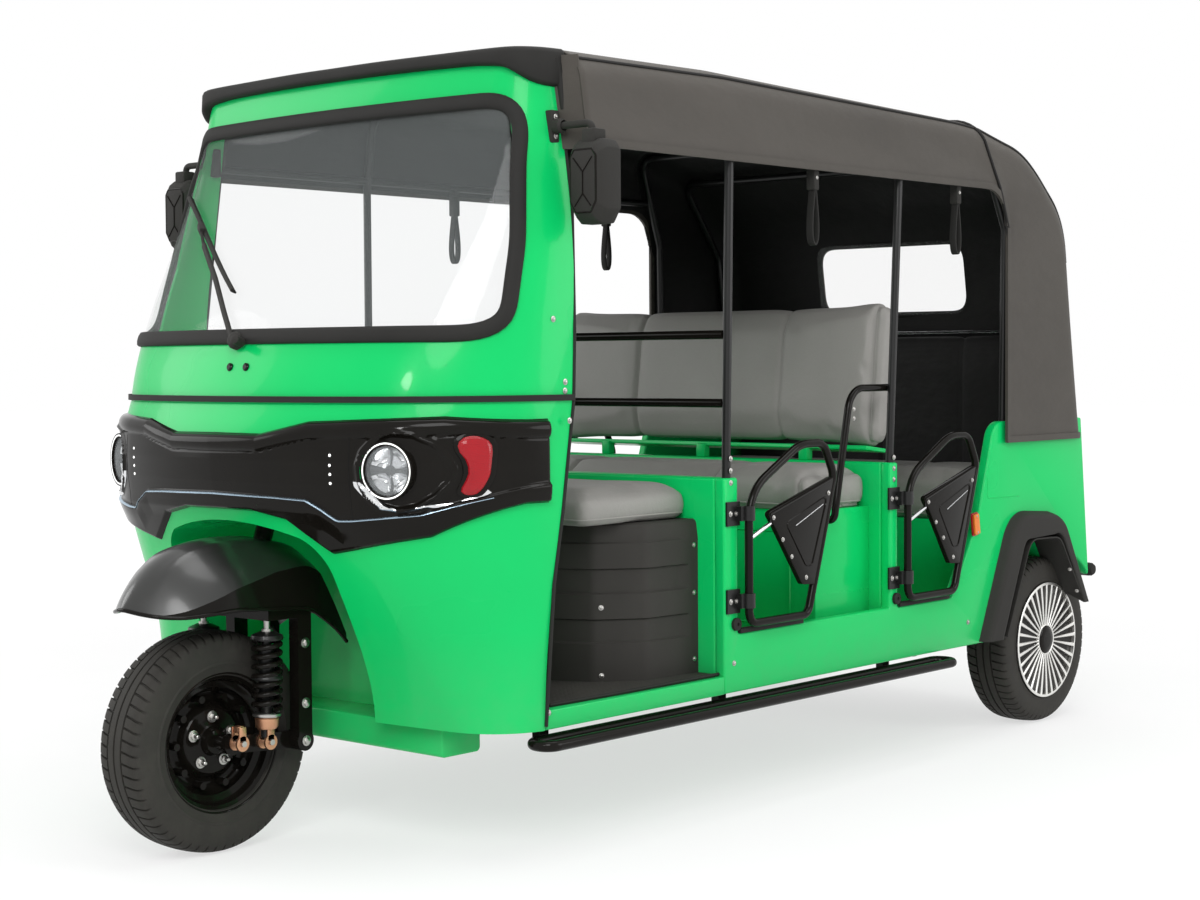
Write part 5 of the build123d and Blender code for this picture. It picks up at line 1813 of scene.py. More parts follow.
class RickshawBodywork(bpy.types.Operator):
    """Rounds the folded edges of the body panels and adds swages, liners, arch lips and caps."""

    bl_idname = "rickshaw.bodywork"
    bl_label = "Bodywork"

    def execute(self, context):
        for node, edge in SOFTENED:
            corner = PANEL_CORNER if node == "side_panels" else None
            softened(node, f"{node}_pressed", edge, corner)
        inset = rounded([(-0.520, 0.400), (0.520, 0.400), (0.520, 0.660), (-0.520, 0.660)], 0.03)
        folds = []
        for u, v in inset:
            iu, iv = u * 0.985, 0.530 + (v - 0.530) * 0.94
            ridge = at((u + iu) / 2, BASE_FRONT - 0.004, (v + iv) / 2)
            folds.append([at(u, BASE_FRONT + 0.001, v), ridge, at(iu, BASE_FRONT + 0.001, iv)])
        piece("mid_seat_base_swage", skin(folds, round_path=True), "body_green")
        line = bent(
            [at(HALF_WIDTH, b, z) for b, z in ((2.322, 0.770), (2.322, 0.712), (2.500, 0.709))],
            0.012,
            6,
        )
        piece(
            "tail_side_swages",
            sweep(line, circle(0.0016, 6), up=(1, 0, 0)).both_sides(),
            "body_green",
        )
        arc = bent(
            [
                (0.0, b, z)
                for b, z in ((2.393, 0.300), (2.528, 0.577), (2.700, 0.573), (2.826, 0.392))
            ],
            0.06,
            8,
        )
        for name, slot, inner, outer in LINERS:
            rings = []
            for p in arc:
                lower = [at(x, p.y, p.z) for x in (inner, outer)]
                away = p.y + (ARCH_MIDDLE - p.y) * -0.02
                rings.append(lower + [at(x, away, p.z + 0.004) for x in (outer, inner)])
            piece(name, skin(rings).both_sides(), slot)
        self.flares()
        profile = [(0.652, 0), (0.652, 0.0205), (0.664, 0.0205), (0.672, 0.015), (0.674, 0.0)]
        caps = lathe(profile, 28, (0, 1.594, 0.454), closed=False)
        piece("bumper_end_caps", caps.both_sides(), "black_rubber")
        return {"FINISHED"}

    def flares(self):
        """Folded wheel-arch lips with screws in their rear legs."""
        path = bent([at(HALF_WIDTH, b, z) for b, z in FLARE_PATH], 0.085, 10)
        section = bent([(a, b, 0) for a, b in FLARE_FOLD], [0, 0.004, 0.013, 0.022, 0], 5)
        shell = sweep(path, [(p.x, p.y) for p in section], up=(1, 0, 0))
        count = len(section)
        for k, spot in enumerate(path):
            narrow = 1 - 0.62 * eased(spot.y - FRONT, 2.60, 2.80)
            for n in range(k * count, (k + 1) * count):
                off = shell.corners[n] - spot
                shell.corners[n] = spot + Vector((off.x, off.y * narrow, off.z * narrow))
        for first, way, level in (
            (0, path[1] - path[0], FLARE_PATH[0][1]),
            (len(path) * count - count, path[-1] - path[-2], FLARE_PATH[-1][1]),
        ):
            for n in range(first, first + count):
                spot = shell.corners[n]
                lift = 0.8 * max(0.0, HALF_WIDTH - spot.x)
                shell.corners[n] = spot + way * ((level + lift - spot.z) / way.z)
        piece(
            "wheel_arch_lips",
            shell.both_sides(),
            "black_plastic",
            hides=("wheel_arch_flares",),
            keep_sharp=50,
        )
        rows = [
            (at(0.690, 2.770, 0.470), (0.3, -1, -0.5)), (at(0.690, 2.815, 0.400), (0.3, -1, -0.5))
        ]
        bolt_piece("wheel_arch_screws", rows, 0.0042, twin=True)


BODY_BOLTS = [  # x, behind the axle, height
    (0.668, 1.108, 0.815), (0.668, 1.108, 0.845), (0.668, 1.108, 0.875), (0.668, 1.833, 0.790),
    (0.668, 1.833, 0.820), (0.668, 1.833, 0.850), (0.6685, 0.440, 0.330), (0.668, 1.118, 0.365),
    (0.668, 2.215, 0.360),
]


class RickshawFixings(bpy.types.Operator):
    """Sets the bolts of the body and the plugs of the guards."""

    bl_idname = "rickshaw.fixings"
    bl_label = "Fixings"

    def execute(self, context):
        rows = []
        for side, _ in SIDES:
            out = (side, 0, 0)
            for x, back, z in BODY_BOLTS:
                rows.append((at(side * x, back, z), out))
        bolt_piece("body_bolts", rows, 0.0048)
        plugs = []
        for side, _ in SIDES:
            plugs += [(at(side * 0.6445, 1.676, z), (side, 0, 0)) for z in (0.985, 0.960)]
        bolt_piece("guard_bolts", plugs, 0.0042)
        return {"FINISHED"}


# ---- mirrors, straps, wiper, screen ----
MIRROR = (0.7375, 0.528, 1.518)
MIRROR_LINE = [
    (-0.036, 0.094), (0.036, 0.094), (0.050, 0.074), (0.050, -0.062), (0.030, -0.094),
    (-0.030, -0.094), (-0.050, -0.062), (-0.050, 0.074),
]


class RickshawMirrors(bpy.types.Operator):
    """Moulds the chamfered mirror shells with their grooves, glass, arms and brackets."""

    bl_idname = "rickshaw.mirrors"
    bl_label = "Mirrors"

    def execute(self, context):
        x, back, z = MIRROR
        spot = at(x, back, z)
        outline = rounded(MIRROR_LINE, 0.008, 3)
        rings = []
        for depth, scale in (
            (0.0360, 0.95), (0.0330, 0.98), (0.022, 1.0), (-0.010, 1.0), (-0.0280, 0.88),
            (-0.0355, 0.76), (-0.0380, 0.70),
        ):
            rings.append([spot + Vector((u * scale, depth, v * scale)) for u, v in outline])
        shell = skin(rings)
        shell.take(
            brick((-0.020, -0.020, 0.080), (0.020, 0.020, 0.118), 0.005), Matrix.Translation(spot)
        )
        arm = sweep(
            bent(
                [at(0.606, back, 1.650), at(x - 0.004, back, 1.650), at(x - 0.004, back, 1.612)],
                0.022,
                8,
            ),
            circle(0.0085, 14),
        )
        shell.take(arm).take(
            brick(
                (0.598, FRONT + back - 0.0135, 1.613), (0.6225, FRONT + back + 0.0135, 1.687), 0.004
            )
        )
        shell.take(
            lathe(
                [(0, 0.012), (0, 0.017), (0.020, 0.017), (0.026, 0.012)], 20, at(0.622, back, 1.650)
            )
        )
        piece(
            "mirror_shells", shell.both_sides(), "black_plastic", hides=("mirrors",), keep_sharp=30
        )
        glass = slab(
            [(u * 0.84, v * 0.86) for u, v in outline],
            lambda u, v, w: spot + Vector((u, w, v)),
            0.0352,
            0.0368,
            0.0005,
        )
        piece("mirror_glasses", glass.both_sides(), "chrome")
        grooves = Shape()
        for line in (
            ((0, -0.028), (0, 0.020)), ((0, 0.020), (0.028, 0.052)), ((0, 0.020), (-0.028, 0.052)),
            ((0, -0.028), (0.024, -0.056)), ((0, -0.028), (-0.024, -0.056)),
        ):
            grooves.take(
                sweep([spot + Vector((u, -0.0382, v)) for u, v in line], circle(0.0026, 8, 0.5))
            )
        ring_line = [(u * 0.74, v * 0.74) for u, v in outline]
        grooves.take(
            sweep(
                [spot + Vector((u, -0.0362, v)) for u, v in ring_line],
                circle(0.0024, 8),
                closed=True,
                up=(0, 1, 0),
            )
        )
        piece("mirror_grooves", grooves.both_sides(), "gloss_black")
        rows = [(at(0.6225, back, z), (1, 0, 0)) for z in (1.672, 1.628)]
        bolt_piece("mirror_bracket_bolts", rows, 0.0045, twin=True)
        return {"FINISHED"}


STRAP_BACKS = (1.468, 2.160)


class RickshawStraps(bpy.types.Operator):
    """Hangs the teardrop hand straps from their holders."""

    bl_idname = "rickshaw.straps"
    bl_label = "Hand straps"

    def execute(self, context):
        bands, holders, rivets = Shape(), Shape(), []
        flat = [
            (-0.010, -0.0018), (-0.0085, -0.0026), (0.0085, -0.0026), (0.010, -0.0018),
            (0.010, 0.0018), (0.0085, 0.0026), (-0.0085, 0.0026), (-0.010, 0.0018),
        ]
        for back in STRAP_BACKS:
            top = at(0.6607, back, 1.585)
            loop = []
            for i in range(64):
                turn = 2 * math.pi * i / 64
                lobe = (1 - math.cos(turn)) / 2
                loop.append(
                    top + Vector((0, 0.0195 * math.sin(turn) * lobe**0.8, -0.168 * lobe**0.9))
                )
            bands.take(sweep(loop, [(b, a) for a, b in flat], closed=True, up=(1, 0, 0)))
            holders.take(
                brick((-0.0135, -0.0110, -0.028), (0.0135, 0.0110, 0.048), 0.004),
                Matrix.Translation(top),
            )
            rivets += [(top + Vector((0.0135, 0, z)), (1, 0, 0)) for z in (0.030, 0.004)]
        piece(
            "hand_strap_bands",
            bands.both_sides(),
            "black_rubber",
            hides=("grab_straps",),
            keep_sharp=50,
        )
        piece("hand_strap_holders", holders.both_sides(), "black_plastic")
        bolt_piece("hand_strap_rivets", rivets, 0.0032, twin=True)
        return {"FINISHED"}


class RickshawNoseTrim(bpy.types.Operator):
    """Adds the washer nozzles and the bolts along the cab's edge."""

    bl_idname = "rickshaw.nose_trim"
    bl_label = "Nose trim"

    def execute(self, context):
        caps = Shape()
        spots, _ = front_of(("upper_cab",), [(0.009, 1.110), (0.065, 1.110)])
        for spot in spots:
            caps.take(
                lathe(
                    [(-0.002, 0.0), (-0.002, 0.0095), (0.003, 0.0095), (0.006, 0.006), (0.006, 0)],
                    24,
                    closed=False,
                ),
                facing(spot, (0, -1, 0.15)),
            )
        piece("washer_nozzles", caps, "gloss_black")
        side_bolts = []
        for side, _ in SIDES:
            for x, back, z in (
                (0.6625, 0.471, 1.213), (0.6685, 0.503, 1.072), (0.6685, 0.502, 1.052),
                (0.6835, 0.500, 0.985),
            ):
                side_bolts.append((at(side * x, back, z), (side, 0, 0)))
        bolt_piece("cab_edge_bolts", side_bolts, 0.0050)
        return {"FINISHED"}


def front_of(nodes, places):
    """Where looks straight from the front at (x, z) first meet the nodes, and the normals there."""
    grids = [tree_of(frame["nodes"][node]) for node in nodes]
    spots, ways = [], []
    for x, z in places:
        met = [grid.ray_cast(Vector((x, -3.0, z)), Vector((0, 1, 0)))[:2] for grid in grids]
        met = [pair for pair in met if pair[0] is not None]
        if not met:
            raise RuntimeError(f"{nodes} aren't seen from the front at {x:.3f}, {z:.3f}")
        spot, way = min(met, key=lambda pair: pair[0].y)
        spots.append(spot)
        ways.append(way if way.y < 0 else -way)
    return spots, ways


def evened(vectors, passes=3, closed=True):
    """A run of directions with each drawn towards its neighbours."""
    for _ in range(passes):
        count = len(vectors)
        vectors = [
            (
                vectors[i - 1 if closed or i else 0]
                + vectors[i] * 2
                + vectors[(i + 1) % count if closed or i + 1 < count else i]
            ).normalized()
            for i in range(count)
        ]
    return vectors


# outline of the windscreen's left half: x, height, corner radius
SCREEN_LINE = [
    (0.634, 1.181, 0.045), (0.621, 1.385, 0.600), (0.592, 1.560, 0.600), (0.566, 1.711, 0.066)
]
GASKET = [
    (-0.0185, -0.0050), (-0.0188, 0.0010), (-0.0160, 0.0058), (-0.0060, 0.0086), (0.0060, 0.0086),
    (0.0160, 0.0058), (0.0188, 0.0010), (0.0185, -0.0050),
]
WIPER_PIVOT = (0.013, 0.098, 1.170)
WIPER_ARM = [
    (0.013, 0.082, 1.172), (-0.070, 0.125, 1.240), (-0.164, 0.176, 1.319), (-0.300, 0.248, 1.410)
]
WIPER_BLADE = ((-0.074, 1.284), (-0.502, 1.539))


class RickshawScreenTrim(bpy.types.Operator):
    """Moulds the windscreen's gasket, the wiper and the rubber edge of the cab."""

    bl_idname = "rickshaw.screen_trim"
    bl_label = "Screen trim"

    def execute(self, context):
        outline = SCREEN_LINE + [(-x, z, r) for x, z, r in reversed(SCREEN_LINE)]
        line = bent([(x, z, 0) for x, z, _ in outline], [r for _, _, r in outline], 9, closed=True)
        line = spaced(line + [line[0]], 260)[:-1]
        spots, ways = front_of(("windscreen_seal", "upper_cab"), [(p.x, p.y) for p in line])
        ways = evened(ways, 8)
        gasket = laid(evened_line(spots, 7), ways, GASKET, closed=True)
        piece(
            "windscreen_gasket", gasket, "black_rubber", hides=("windscreen_seal",), keep_sharp=50
        )
        self.wiper()
        self.cab_edge()
        self.visor_roll()
        return {"FINISHED"}

    def wiper(self):
        pivot = at(*WIPER_PIVOT)
        arm = lathe(
            [
                (-0.012, 0), (-0.012, 0.021), (0.010, 0.021), (0.018, 0.016), (0.021, 0.008),
                (0.021, 0),
            ],
            32,
            closed=False,
        )
        made = Shape().take(arm, facing(pivot, (0, -1, 0.35)))
        made.take(
            lathe(
                [(0, 0), (0, 0.011), (0.030, 0.011), (0.034, 0.006), (0.034, 0)], 24, closed=False
            ),
            facing(at(0.040, 0.088, 1.166), (0.3, -1, 0.3)),
        )
        flat = bent(
            [(-0.0075, -0.004, 0), (0.0075, -0.004, 0), (0.0075, 0.004, 0), (-0.0075, 0.004, 0)],
            0.003,
            3,
            closed=True,
        )
        made.take(
            sweep(
                bent([at(*p) for p in WIPER_ARM], 0.2, 6), [(p.x, p.y) for p in flat], up=(0, -1, 0)
            )
        )
        (ax, az), (bx, bz) = WIPER_BLADE
        places = [(ax + (bx - ax) * i / 24, az + (bz - az) * i / 24) for i in range(25)]
        spots, ways = front_of(("windscreen",), places)
        ways = evened(ways, 4, closed=False)
        blade = laid(
            [p + w * 0.006 for p, w in zip(spots, ways)],
            ways,
            [(-0.002, -0.005), (0.002, -0.005), (0.0045, 0.004), (-0.0045, 0.004)],
        )
        spine = laid(
            [p + w * 0.014 for p, w in zip(spots, ways)],
            ways,
            [(a, b * 0.8) for a, b in circle(0.0052, 10)],
        )
        middle = spots[15] + ways[15] * 0.020
        made.take(spine).take(
            sweep([at(*WIPER_ARM[-1]), middle + ways[15] * 0.004, middle], circle(0.0042, 8))
        )
        made.take(
            brick((-0.018, -0.008, -0.010), (0.018, 0.008, 0.010), 0.003),
            facing(middle, spots[16] - spots[14]),
        )
        piece("wiper_arm", made, "black_plastic", hides=("wiper",), keep_sharp=40)
        piece("wiper_blade", blade, "black_rubber")

    def visor_roll(self):
        """Rubber roll round the roof's front edge, drooping at the cab's corners."""
        top = 1.8320
        rows = eased_rows(VISOR_HALF, 60)
        rows = [(-x, back, low) for x, back, low in reversed(rows[1:])] + rows
        rings = []
        for k, (x, back, low) in enumerate(rows):
            (ax, ay, _), (bx, by, _) = rows[max(k - 1, 0)], rows[min(k + 1, len(rows) - 1)]
            out = Vector((by - ay, -(bx - ax), 0)).normalized()
            foot = at(x, back, 0)
            lean = 0.12 * (top - low)
            ring = [
                (-0.018 - lean * 0.4, top - 0.008), (-0.014 - lean * 0.4, low),
                (0.004 - lean * 0.2, low), (0.0105, low + 0.004), (0.0135, low + 0.010),
                (0.0115, top - 0.014), (0.0075, top - 0.006), (0.0, top - 0.0015), (-0.014, top),
            ]
            rim = [foot + out * a + Vector((0, 0, z)) for a, z in ring]
            crown = 0.005 * (1 - (x / 0.61) ** 2)
            rings.append(
                rim + [at(x * 0.985, 0.574, top + crown), at(x * 0.985, 0.574, top - 0.008)]
            )
        piece(
            "visor_roll",
            skin(rings),
            "black_rubber",
            hides=("cab_roof",),
            keep_sharp=50,
        )

    def cab_edge(self):
        line = bent([at(x + 0.001, b + 0.002, z) for x, b, z in CAB_EDGE], 0.15, 6)
        edge = sweep(line, circle(0.0042, 8))
        corner = bent(
            [at(0.604, 0.548, 1.808), at(0.607, 0.560, 1.770), at(0.616, 0.562, 1.690)], 0.03, 6
        )
        edge.take(sweep(corner, circle(0.0110, 12), up=(0, 1, 0)))
        piece("cab_edge_rubber", edge.both_sides(), "black_rubber")


VISOR_HALF = [  # x, behind the axle, lower edge of the roll
    (0.0, 0.4155, 1.798), (0.158, 0.4160, 1.798), (0.392, 0.4345, 1.796), (0.470, 0.4420, 1.793),
    (0.529, 0.4520, 1.786), (0.560, 0.4660, 1.770), (0.583, 0.4930, 1.752), (0.596, 0.5250, 1.744),
    (0.603, 0.5700, 1.742),
]


# rear edge of the cab's left side: x, behind the axle, height
CAB_EDGE = [
    (0.668, 0.429, 0.300), (0.668, 0.458, 0.614), (0.668, 0.490, 0.784), (0.668, 0.528, 1.028),
    (0.668, 0.533, 1.186), (0.645, 0.553, 1.474), (0.605, 0.557, 1.720), (0.592, 0.557, 1.790),
]


def evened_line(points, passes=2):
    """A closed line with its small steps smoothed out."""
    for _ in range(passes):
        count = len(points)
        points = [
            (points[i - 1] + points[i] * 2 + points[(i + 1) % count]) / 4 for i in range(count)
        ]
    return points


# ---- soft top ----
ROOF_LINE = [(0.572, 1.834, 0.0), (1.116, 1.840, 0.9), (2.290, 1.807, 0.0)]
REAR_LINE = [
    (2.290, 1.807, 0.0), (2.307, 1.806, 0.4), (2.563, 1.753, 0.3), (2.793, 1.557, 0.26),
    (2.904, 0.872, 0.0),
]
VALANCE_Z = 1.610
HOOP_BACKS = (0.590, 1.116, 1.869, 2.312, 2.548)
CANOPY_X, CANOPY_TAPER = 0.682, 0.148
CLOTH = 0.0035
CROWN = 0.020
SIDE_SAG = 0.005
SIDE_SAG_END = 2.54
RIPPLE = 0.0011
# steps of a rib up one side, round one edge roll and from the middle to one roll
SIDE_STEPS, ROLL_STEPS, HALF_STEPS = 14, 8, 12
WINDOW = [(-0.276, 1.271), (0.276, 1.271), (0.276, 1.490), (-0.276, 1.490)]


def side_reach(z):
    return CANOPY_X - max(0.0, z - VALANCE_Z) * CANOPY_TAPER


def bent_profile(table):
    """Line of (behind the axle, height) with each corner rounded to its own radius."""
    points = [Vector((0, b, z)) for b, z, _ in table]
    line = [points[0]]
    for i in range(1, len(points) - 1):
        line += bent(points[i - 1 : i + 2], table[i][2], 10)[1:-1]
    line.append(points[-1])
    return line


def spaced(line, count):
    """The line walked in even steps."""
    lengths = [(b - a).length for a, b in zip(line, line[1:])]
    total = sum(lengths)
    made = []
    for i in range(count + 1):
        reach = total * i / count
        for a, b, span in zip(line, line[1:], lengths):
            if reach <= span or b is line[-1]:
                made.append(a + (b - a) * min(1.0, reach / span))
                break
            reach -= span
    return made


def slack(back, sag):
    """Sag of the cloth at a place between two hoops, 0 on a hoop."""
    for low, high in zip(HOOP_BACKS, HOOP_BACKS[1:]):
        if low <= back <= high:
            return sag * math.sin(math.pi * (back - low) / (high - low)) ** 2
    return 0.0


def canopy_rows(top, bottom, roll, sag, relaxed=True):
    """Ribs of the sheet: up the left side, over the edge roll, across and down the right."""
    rings = []
    for head, foot, way in zip(top, bottom, travel(top)):
        out = Vector((0, -way.z, way.y)).normalized()
        up = (head - foot).normalized()
        reach = side_reach(head.z) if head.z > VALANCE_Z else CANOPY_X
        span = (head - foot).length - roll
        dip = slack(head.y, sag) if relaxed else 0.0
        side_dip = slack(min(head.y, SIDE_SAG_END), SIDE_SAG) if relaxed else 0.0
        left = []
        for j in range(SIDE_STEPS + 1):
            spot = foot + up * span * j / SIDE_STEPS
            bow = math.sin(math.pi * (j / SIDE_STEPS) * 0.9) ** 2
            left.append(Vector((side_reach(spot.z) - side_dip * bow, FRONT + spot.y, spot.z)))
        edge = foot + up * span
        inner = reach - roll
        for j in range(1, ROLL_STEPS):
            turn = math.pi / 2 * j / ROLL_STEPS
            spot = edge + up * roll * math.sin(turn)
            x = inner + (side_reach(edge.z) - inner) * math.cos(turn)
            left.append(Vector((x, FRONT + spot.y, spot.z)))
        across = []
        for j in range(2 * HALF_STEPS + 1):
            x = inner * (1 - j / HALF_STEPS)
            bulge = ripple = 0.0
            if relaxed:
                bulge = (CROWN - dip) * (1 - (x / inner) ** 2)
                ripple = RIPPLE * math.sin(x * 21 + head.y * 3) * (1 - (x / inner) ** 2)
            spot = head + out * (bulge + ripple)
            across.append(Vector((x, FRONT + spot.y, spot.z)))
        right = [Vector((-p.x, p.y, p.z)) for p in reversed(left)]
        rings.append(left + across + right)
    return rings


def area_of(rings):
    sheet = skin(rings, round_ring=False)
    total = 0.0
    for a, b, c, d in sheet.faces:
        p, q, r, s = (sheet.corners[i] for i in (a, b, c, d))
        total += ((r - p).cross(s - q)).length / 2
    return total


def flat_size(rings):
    """Length of the longest rib, of the longest line along the sheet, and the cut's area."""
    ribs = [sum((b - a).length for a, b in zip(ring, ring[1:])) for ring in rings]
    lines = [
        sum((b[k] - a[k]).length for a, b in zip(rings, rings[1:])) for k in range(len(rings[0]))
    ]
    return max(ribs), max(lines), area_of(rings)


def sewn_sheet(name, rings, hides):
    """Cloth of one thickness on the ribs, closed round its edges."""
    sheet = piece(name, skin(rings, round_ring=False), "canopy_fabric", hides=hides, keep_sharp=70)
    thick = sheet.modifiers.new("cloth", "SOLIDIFY")
    thick.thickness = CLOTH
    thick.offset = -1 if outward_faces(sheet) else 1
    sheet.data.materials.append(FINISHES["lining"])
    thick.material_offset = 1
    settle(sheet)
    return sheet


def outward_faces(sheet):
    """Whether the middle of the sheet faces away from the cab's inside."""
    middle = Vector((0, 0.5, 1.2))
    face = max(sheet.data.polygons, key=lambda p: p.center.z)
    return face.normal.dot(face.center - middle) > 0


def rib_line(ring, lift):
    """Line along a rib's outer face, raised off it."""
    middle = Vector((0, ring[0].y, 1.2))
    return [p + (p - middle).normalized() * lift for p in ring]


def edge_line(rings, index, lift):
    points = []
    for ring in rings:
        p = ring[index]
        side = math.copysign(1, p.x)
        away = Vector((side, 0, 0.6)) if p.z > 1.6 else Vector((side, 0.4, 0))
        points.append(p + away.normalized() * lift)
    return points


# the corner of a rib that lies in the middle of its left edge roll
ROLL_MIDDLE = 18
ROOF_RIBS, REAR_RIBS = 84, 70
# where the roof's sheet meets the rear one at the valance, and the radius of the turn there
SEAM_BACK, QUARTER = 2.411, 0.110
PIPED_RIBS = 40
HEM_SECTION = [
    (-0.0045, -0.009), (0.0045, -0.009), (0.0050, 0.0), (0.0045, 0.009), (-0.0045, 0.009),
    (-0.0050, 0.0),
]


class RickshawSoftTop(bpy.types.Operator):
    """Cuts the soft top's two sheets, hangs them over the hoops and pipes them."""

    bl_idname = "rickshaw.soft_top"
    bl_label = "Soft top"

    def execute(self, context):
        sizes = context.scene.rickshaw_sizes
        turns = [math.pi / 2 * k / 10 for k in range(11)]
        corner_y, corner_z = SEAM_BACK - QUARTER, 1.500
        quarter = [
            Vector((0, corner_y + QUARTER * math.sin(a), corner_z + QUARTER * math.cos(a)))
            for a in turns
        ]
        rear_foot = [Vector((0, SEAM_BACK, z)) for z in (corner_z, 0.872)]
        roof, roof_flat = self.cut_cloth(
            sizes, ROOF_LINE, [Vector((0, 0.572, VALANCE_Z))] + quarter, ROOF_RIBS
        )
        rear, rear_flat = self.cut_cloth(sizes, REAR_LINE, rear_foot, REAR_RIBS)
        roof_sheet = sewn_sheet("canopy_roof_sheet", roof, ("canopy_top",))
        rear_sheet = sewn_sheet("canopy_rear_sheet", rear, ("canopy_rear",))
        opening = rounded(WINDOW, 0.060, 8)
        carve(rear_sheet, slab(opening, lambda u, v, w: at(u, w, v), 2.60, 3.00, 0))
        trims = self.trim(roof, rear, rear_sheet)
        self.closing()
        return {"FINISHED"}

    def cut_cloth(self, sizes, line, foot, count):
        """A sheet's ribs as it hangs, and its flat size from the same ribs without their slack."""
        top, bottom = spaced(bent_profile(line), count), spaced(foot, count)
        hung = canopy_rows(top, bottom, sizes.roof_edge, sizes.roof_sag)
        return hung, flat_size(canopy_rows(top, bottom, sizes.roof_edge, 0, relaxed=False))

    def closing(self):
        """Strip of cloth from the cab's rear edge out to the soft top's front edge."""
        rings = []
        for i in range(13):
            z = 1.600 + 0.215 * i / 12
            inner = at(0.645 - (z - 1.474) * 0.163, 0.548, z)
            outer = at(side_reach(z) - 0.003, 0.574, z)
            through = Vector((0, 0.003, 0))
            rings.append([inner, outer, outer + through, inner + through])
        strip = skin(rings).both_sides()
        rings = []
        for i in range(41):
            x = 0.590 * (1 - i / 20)
            z = 1.8325 + CROWN * max(0.0, 1 - (x / 0.58) ** 2)
            rings.append(
                [at(x, 0.5715, 1.820), at(x, 0.5715, z), at(x, 0.5745, z), at(x, 0.5745, 1.820)]
            )
        piece("canopy_front_closing", strip.take(skin(rings)), "canopy_fabric")

    def trim(self, roof, rear, rear_sheet):
        """Piping, hems and the rear window's binding."""
        cord = circle(0.0042, 8)
        edges = Shape()
        last = len(roof[0]) - 1
        for index in (ROLL_MIDDLE, last - ROLL_MIDDLE):
            edges.take(sweep(edge_line(roof, index, 0.0012), cord))
            edges.take(sweep(edge_line(rear[:PIPED_RIBS], index, 0.0012), cord))
        edges.take(sweep(rib_line(roof[-1], 0.0018), circle(0.0050, 8)))
        piping = piece("canopy_piping", edges, "piping", keep_sharp=60)
        hems, flaps = Shape(), Shape()
        for index in (0, last):
            hems.take(sweep([ring[index] + Vector((0, 0, 0.006)) for ring in roof], HEM_SECTION))
            side = [ring[index] + Vector((0, 0.004, 0)) for ring in rear]
            flaps.take(sweep(side, HEM_SECTION, up=(0, 1, 0)))
        hem = piece("canopy_valance_hems", hems, "canopy_fabric", keep_sharp=60)
        foot = rib_line([p + Vector((0, 0, 0.008)) for p in rear[-1]], 0.0)
        flaps.take(sweep(foot, HEM_SECTION))
        flap = piece("canopy_rear_hems", flaps, "canopy_fabric", keep_sharp=60)
        grid = tree_of(rear_sheet)
        loop = []
        for u, v in rounded(
            [(u * 1.03, 1.3805 + (v - 1.3805) * 1.06) for u, v in WINDOW], 0.066, 8
        ):
            spot, _, _, _ = grid.ray_cast(at(u, 3.4, v), Vector((0, -1, 0)))
            if spot is None:
                raise RuntimeError("the rear window's binding misses the rear sheet")
            loop.append(spot + Vector((0, 0.001, 0)))
        loop = spaced(loop + [loop[0]], 120)[:-1]
        tape = [(a * 2.6, b) for a, b in circle(0.0038, 10)]
        shape = sweep(loop, tape, closed=True, up=(0, 1, 0))
        binding = piece("rear_window_binding", shape, "piping", keep_sharp=60)
        rod = sweep([at(x, 2.840, 1.205) for x in (-0.590, 0.0, 0.590)], circle(0.0045, 10))
        piece("curtain_rod", rod, "chrome")
        return [piping, hem, flap, binding]


# ---- seats ----
PADS = [
    # node, lowest and highest corner (behind the axle), edge radius, seams' x, end seams' x
    ("driver_seat_cushion", (-0.554, 0.690, 0.7243), (0.554, 1.0840, 0.8180), 0.030, (), None),
    (
        "mid_seat_cushion", (-0.600, 1.514, 0.7163), (0.600, 1.8127, 0.8343), 0.034,
        (-0.267, 0.267), 0.575,
    ),
    (
        "rear_seat_cushion", (-0.600, 2.330, 0.6403), (0.600, 2.7647, 0.7953), 0.036,
        (-0.267, 0.267), 0.575,
    ),
]
BACK_PAD = {
    "origin": (0.0, 1.815, 0.883), "half": 0.600, "height": 0.405, "thick": 0.128, "recline": 7
}
VOXEL = 0.012
FRAMES = 20
PRESSURE = 4
BACK_SEAMS = (-0.267, 0.267, -0.575, 0.575)
CURTAIN_SEAMS = (-0.3, 0.0, 0.3)
# how far the cuts beside a seam lie from it, and the reach of its channel and of the dip round it
SEAM_CUTS = (-0.0035, 0.0, 0.0035)
CHANNEL_REACH, DIP_REACH = 0.008, 0.035
THREAD = circle(0.0016, 6)
WELT_HEIGHT = 0.016


def pad_blank(low, high, edge):
    """Rounded block for a pad to swell from, a little inside its space."""
    bm = bmesh.new()
    bmesh.ops.create_cube(bm, size=1)
    size = Vector(high) - Vector(low)
    middle = (Vector(high) + Vector(low)) / 2
    for v in bm.verts:
        v.co = Vector((v.co.x * size.x, v.co.y * size.y, v.co.z * size.z)) + middle
    round_edges(bm, list(bm.edges), edge, 4)
    return from_bmesh(bm)


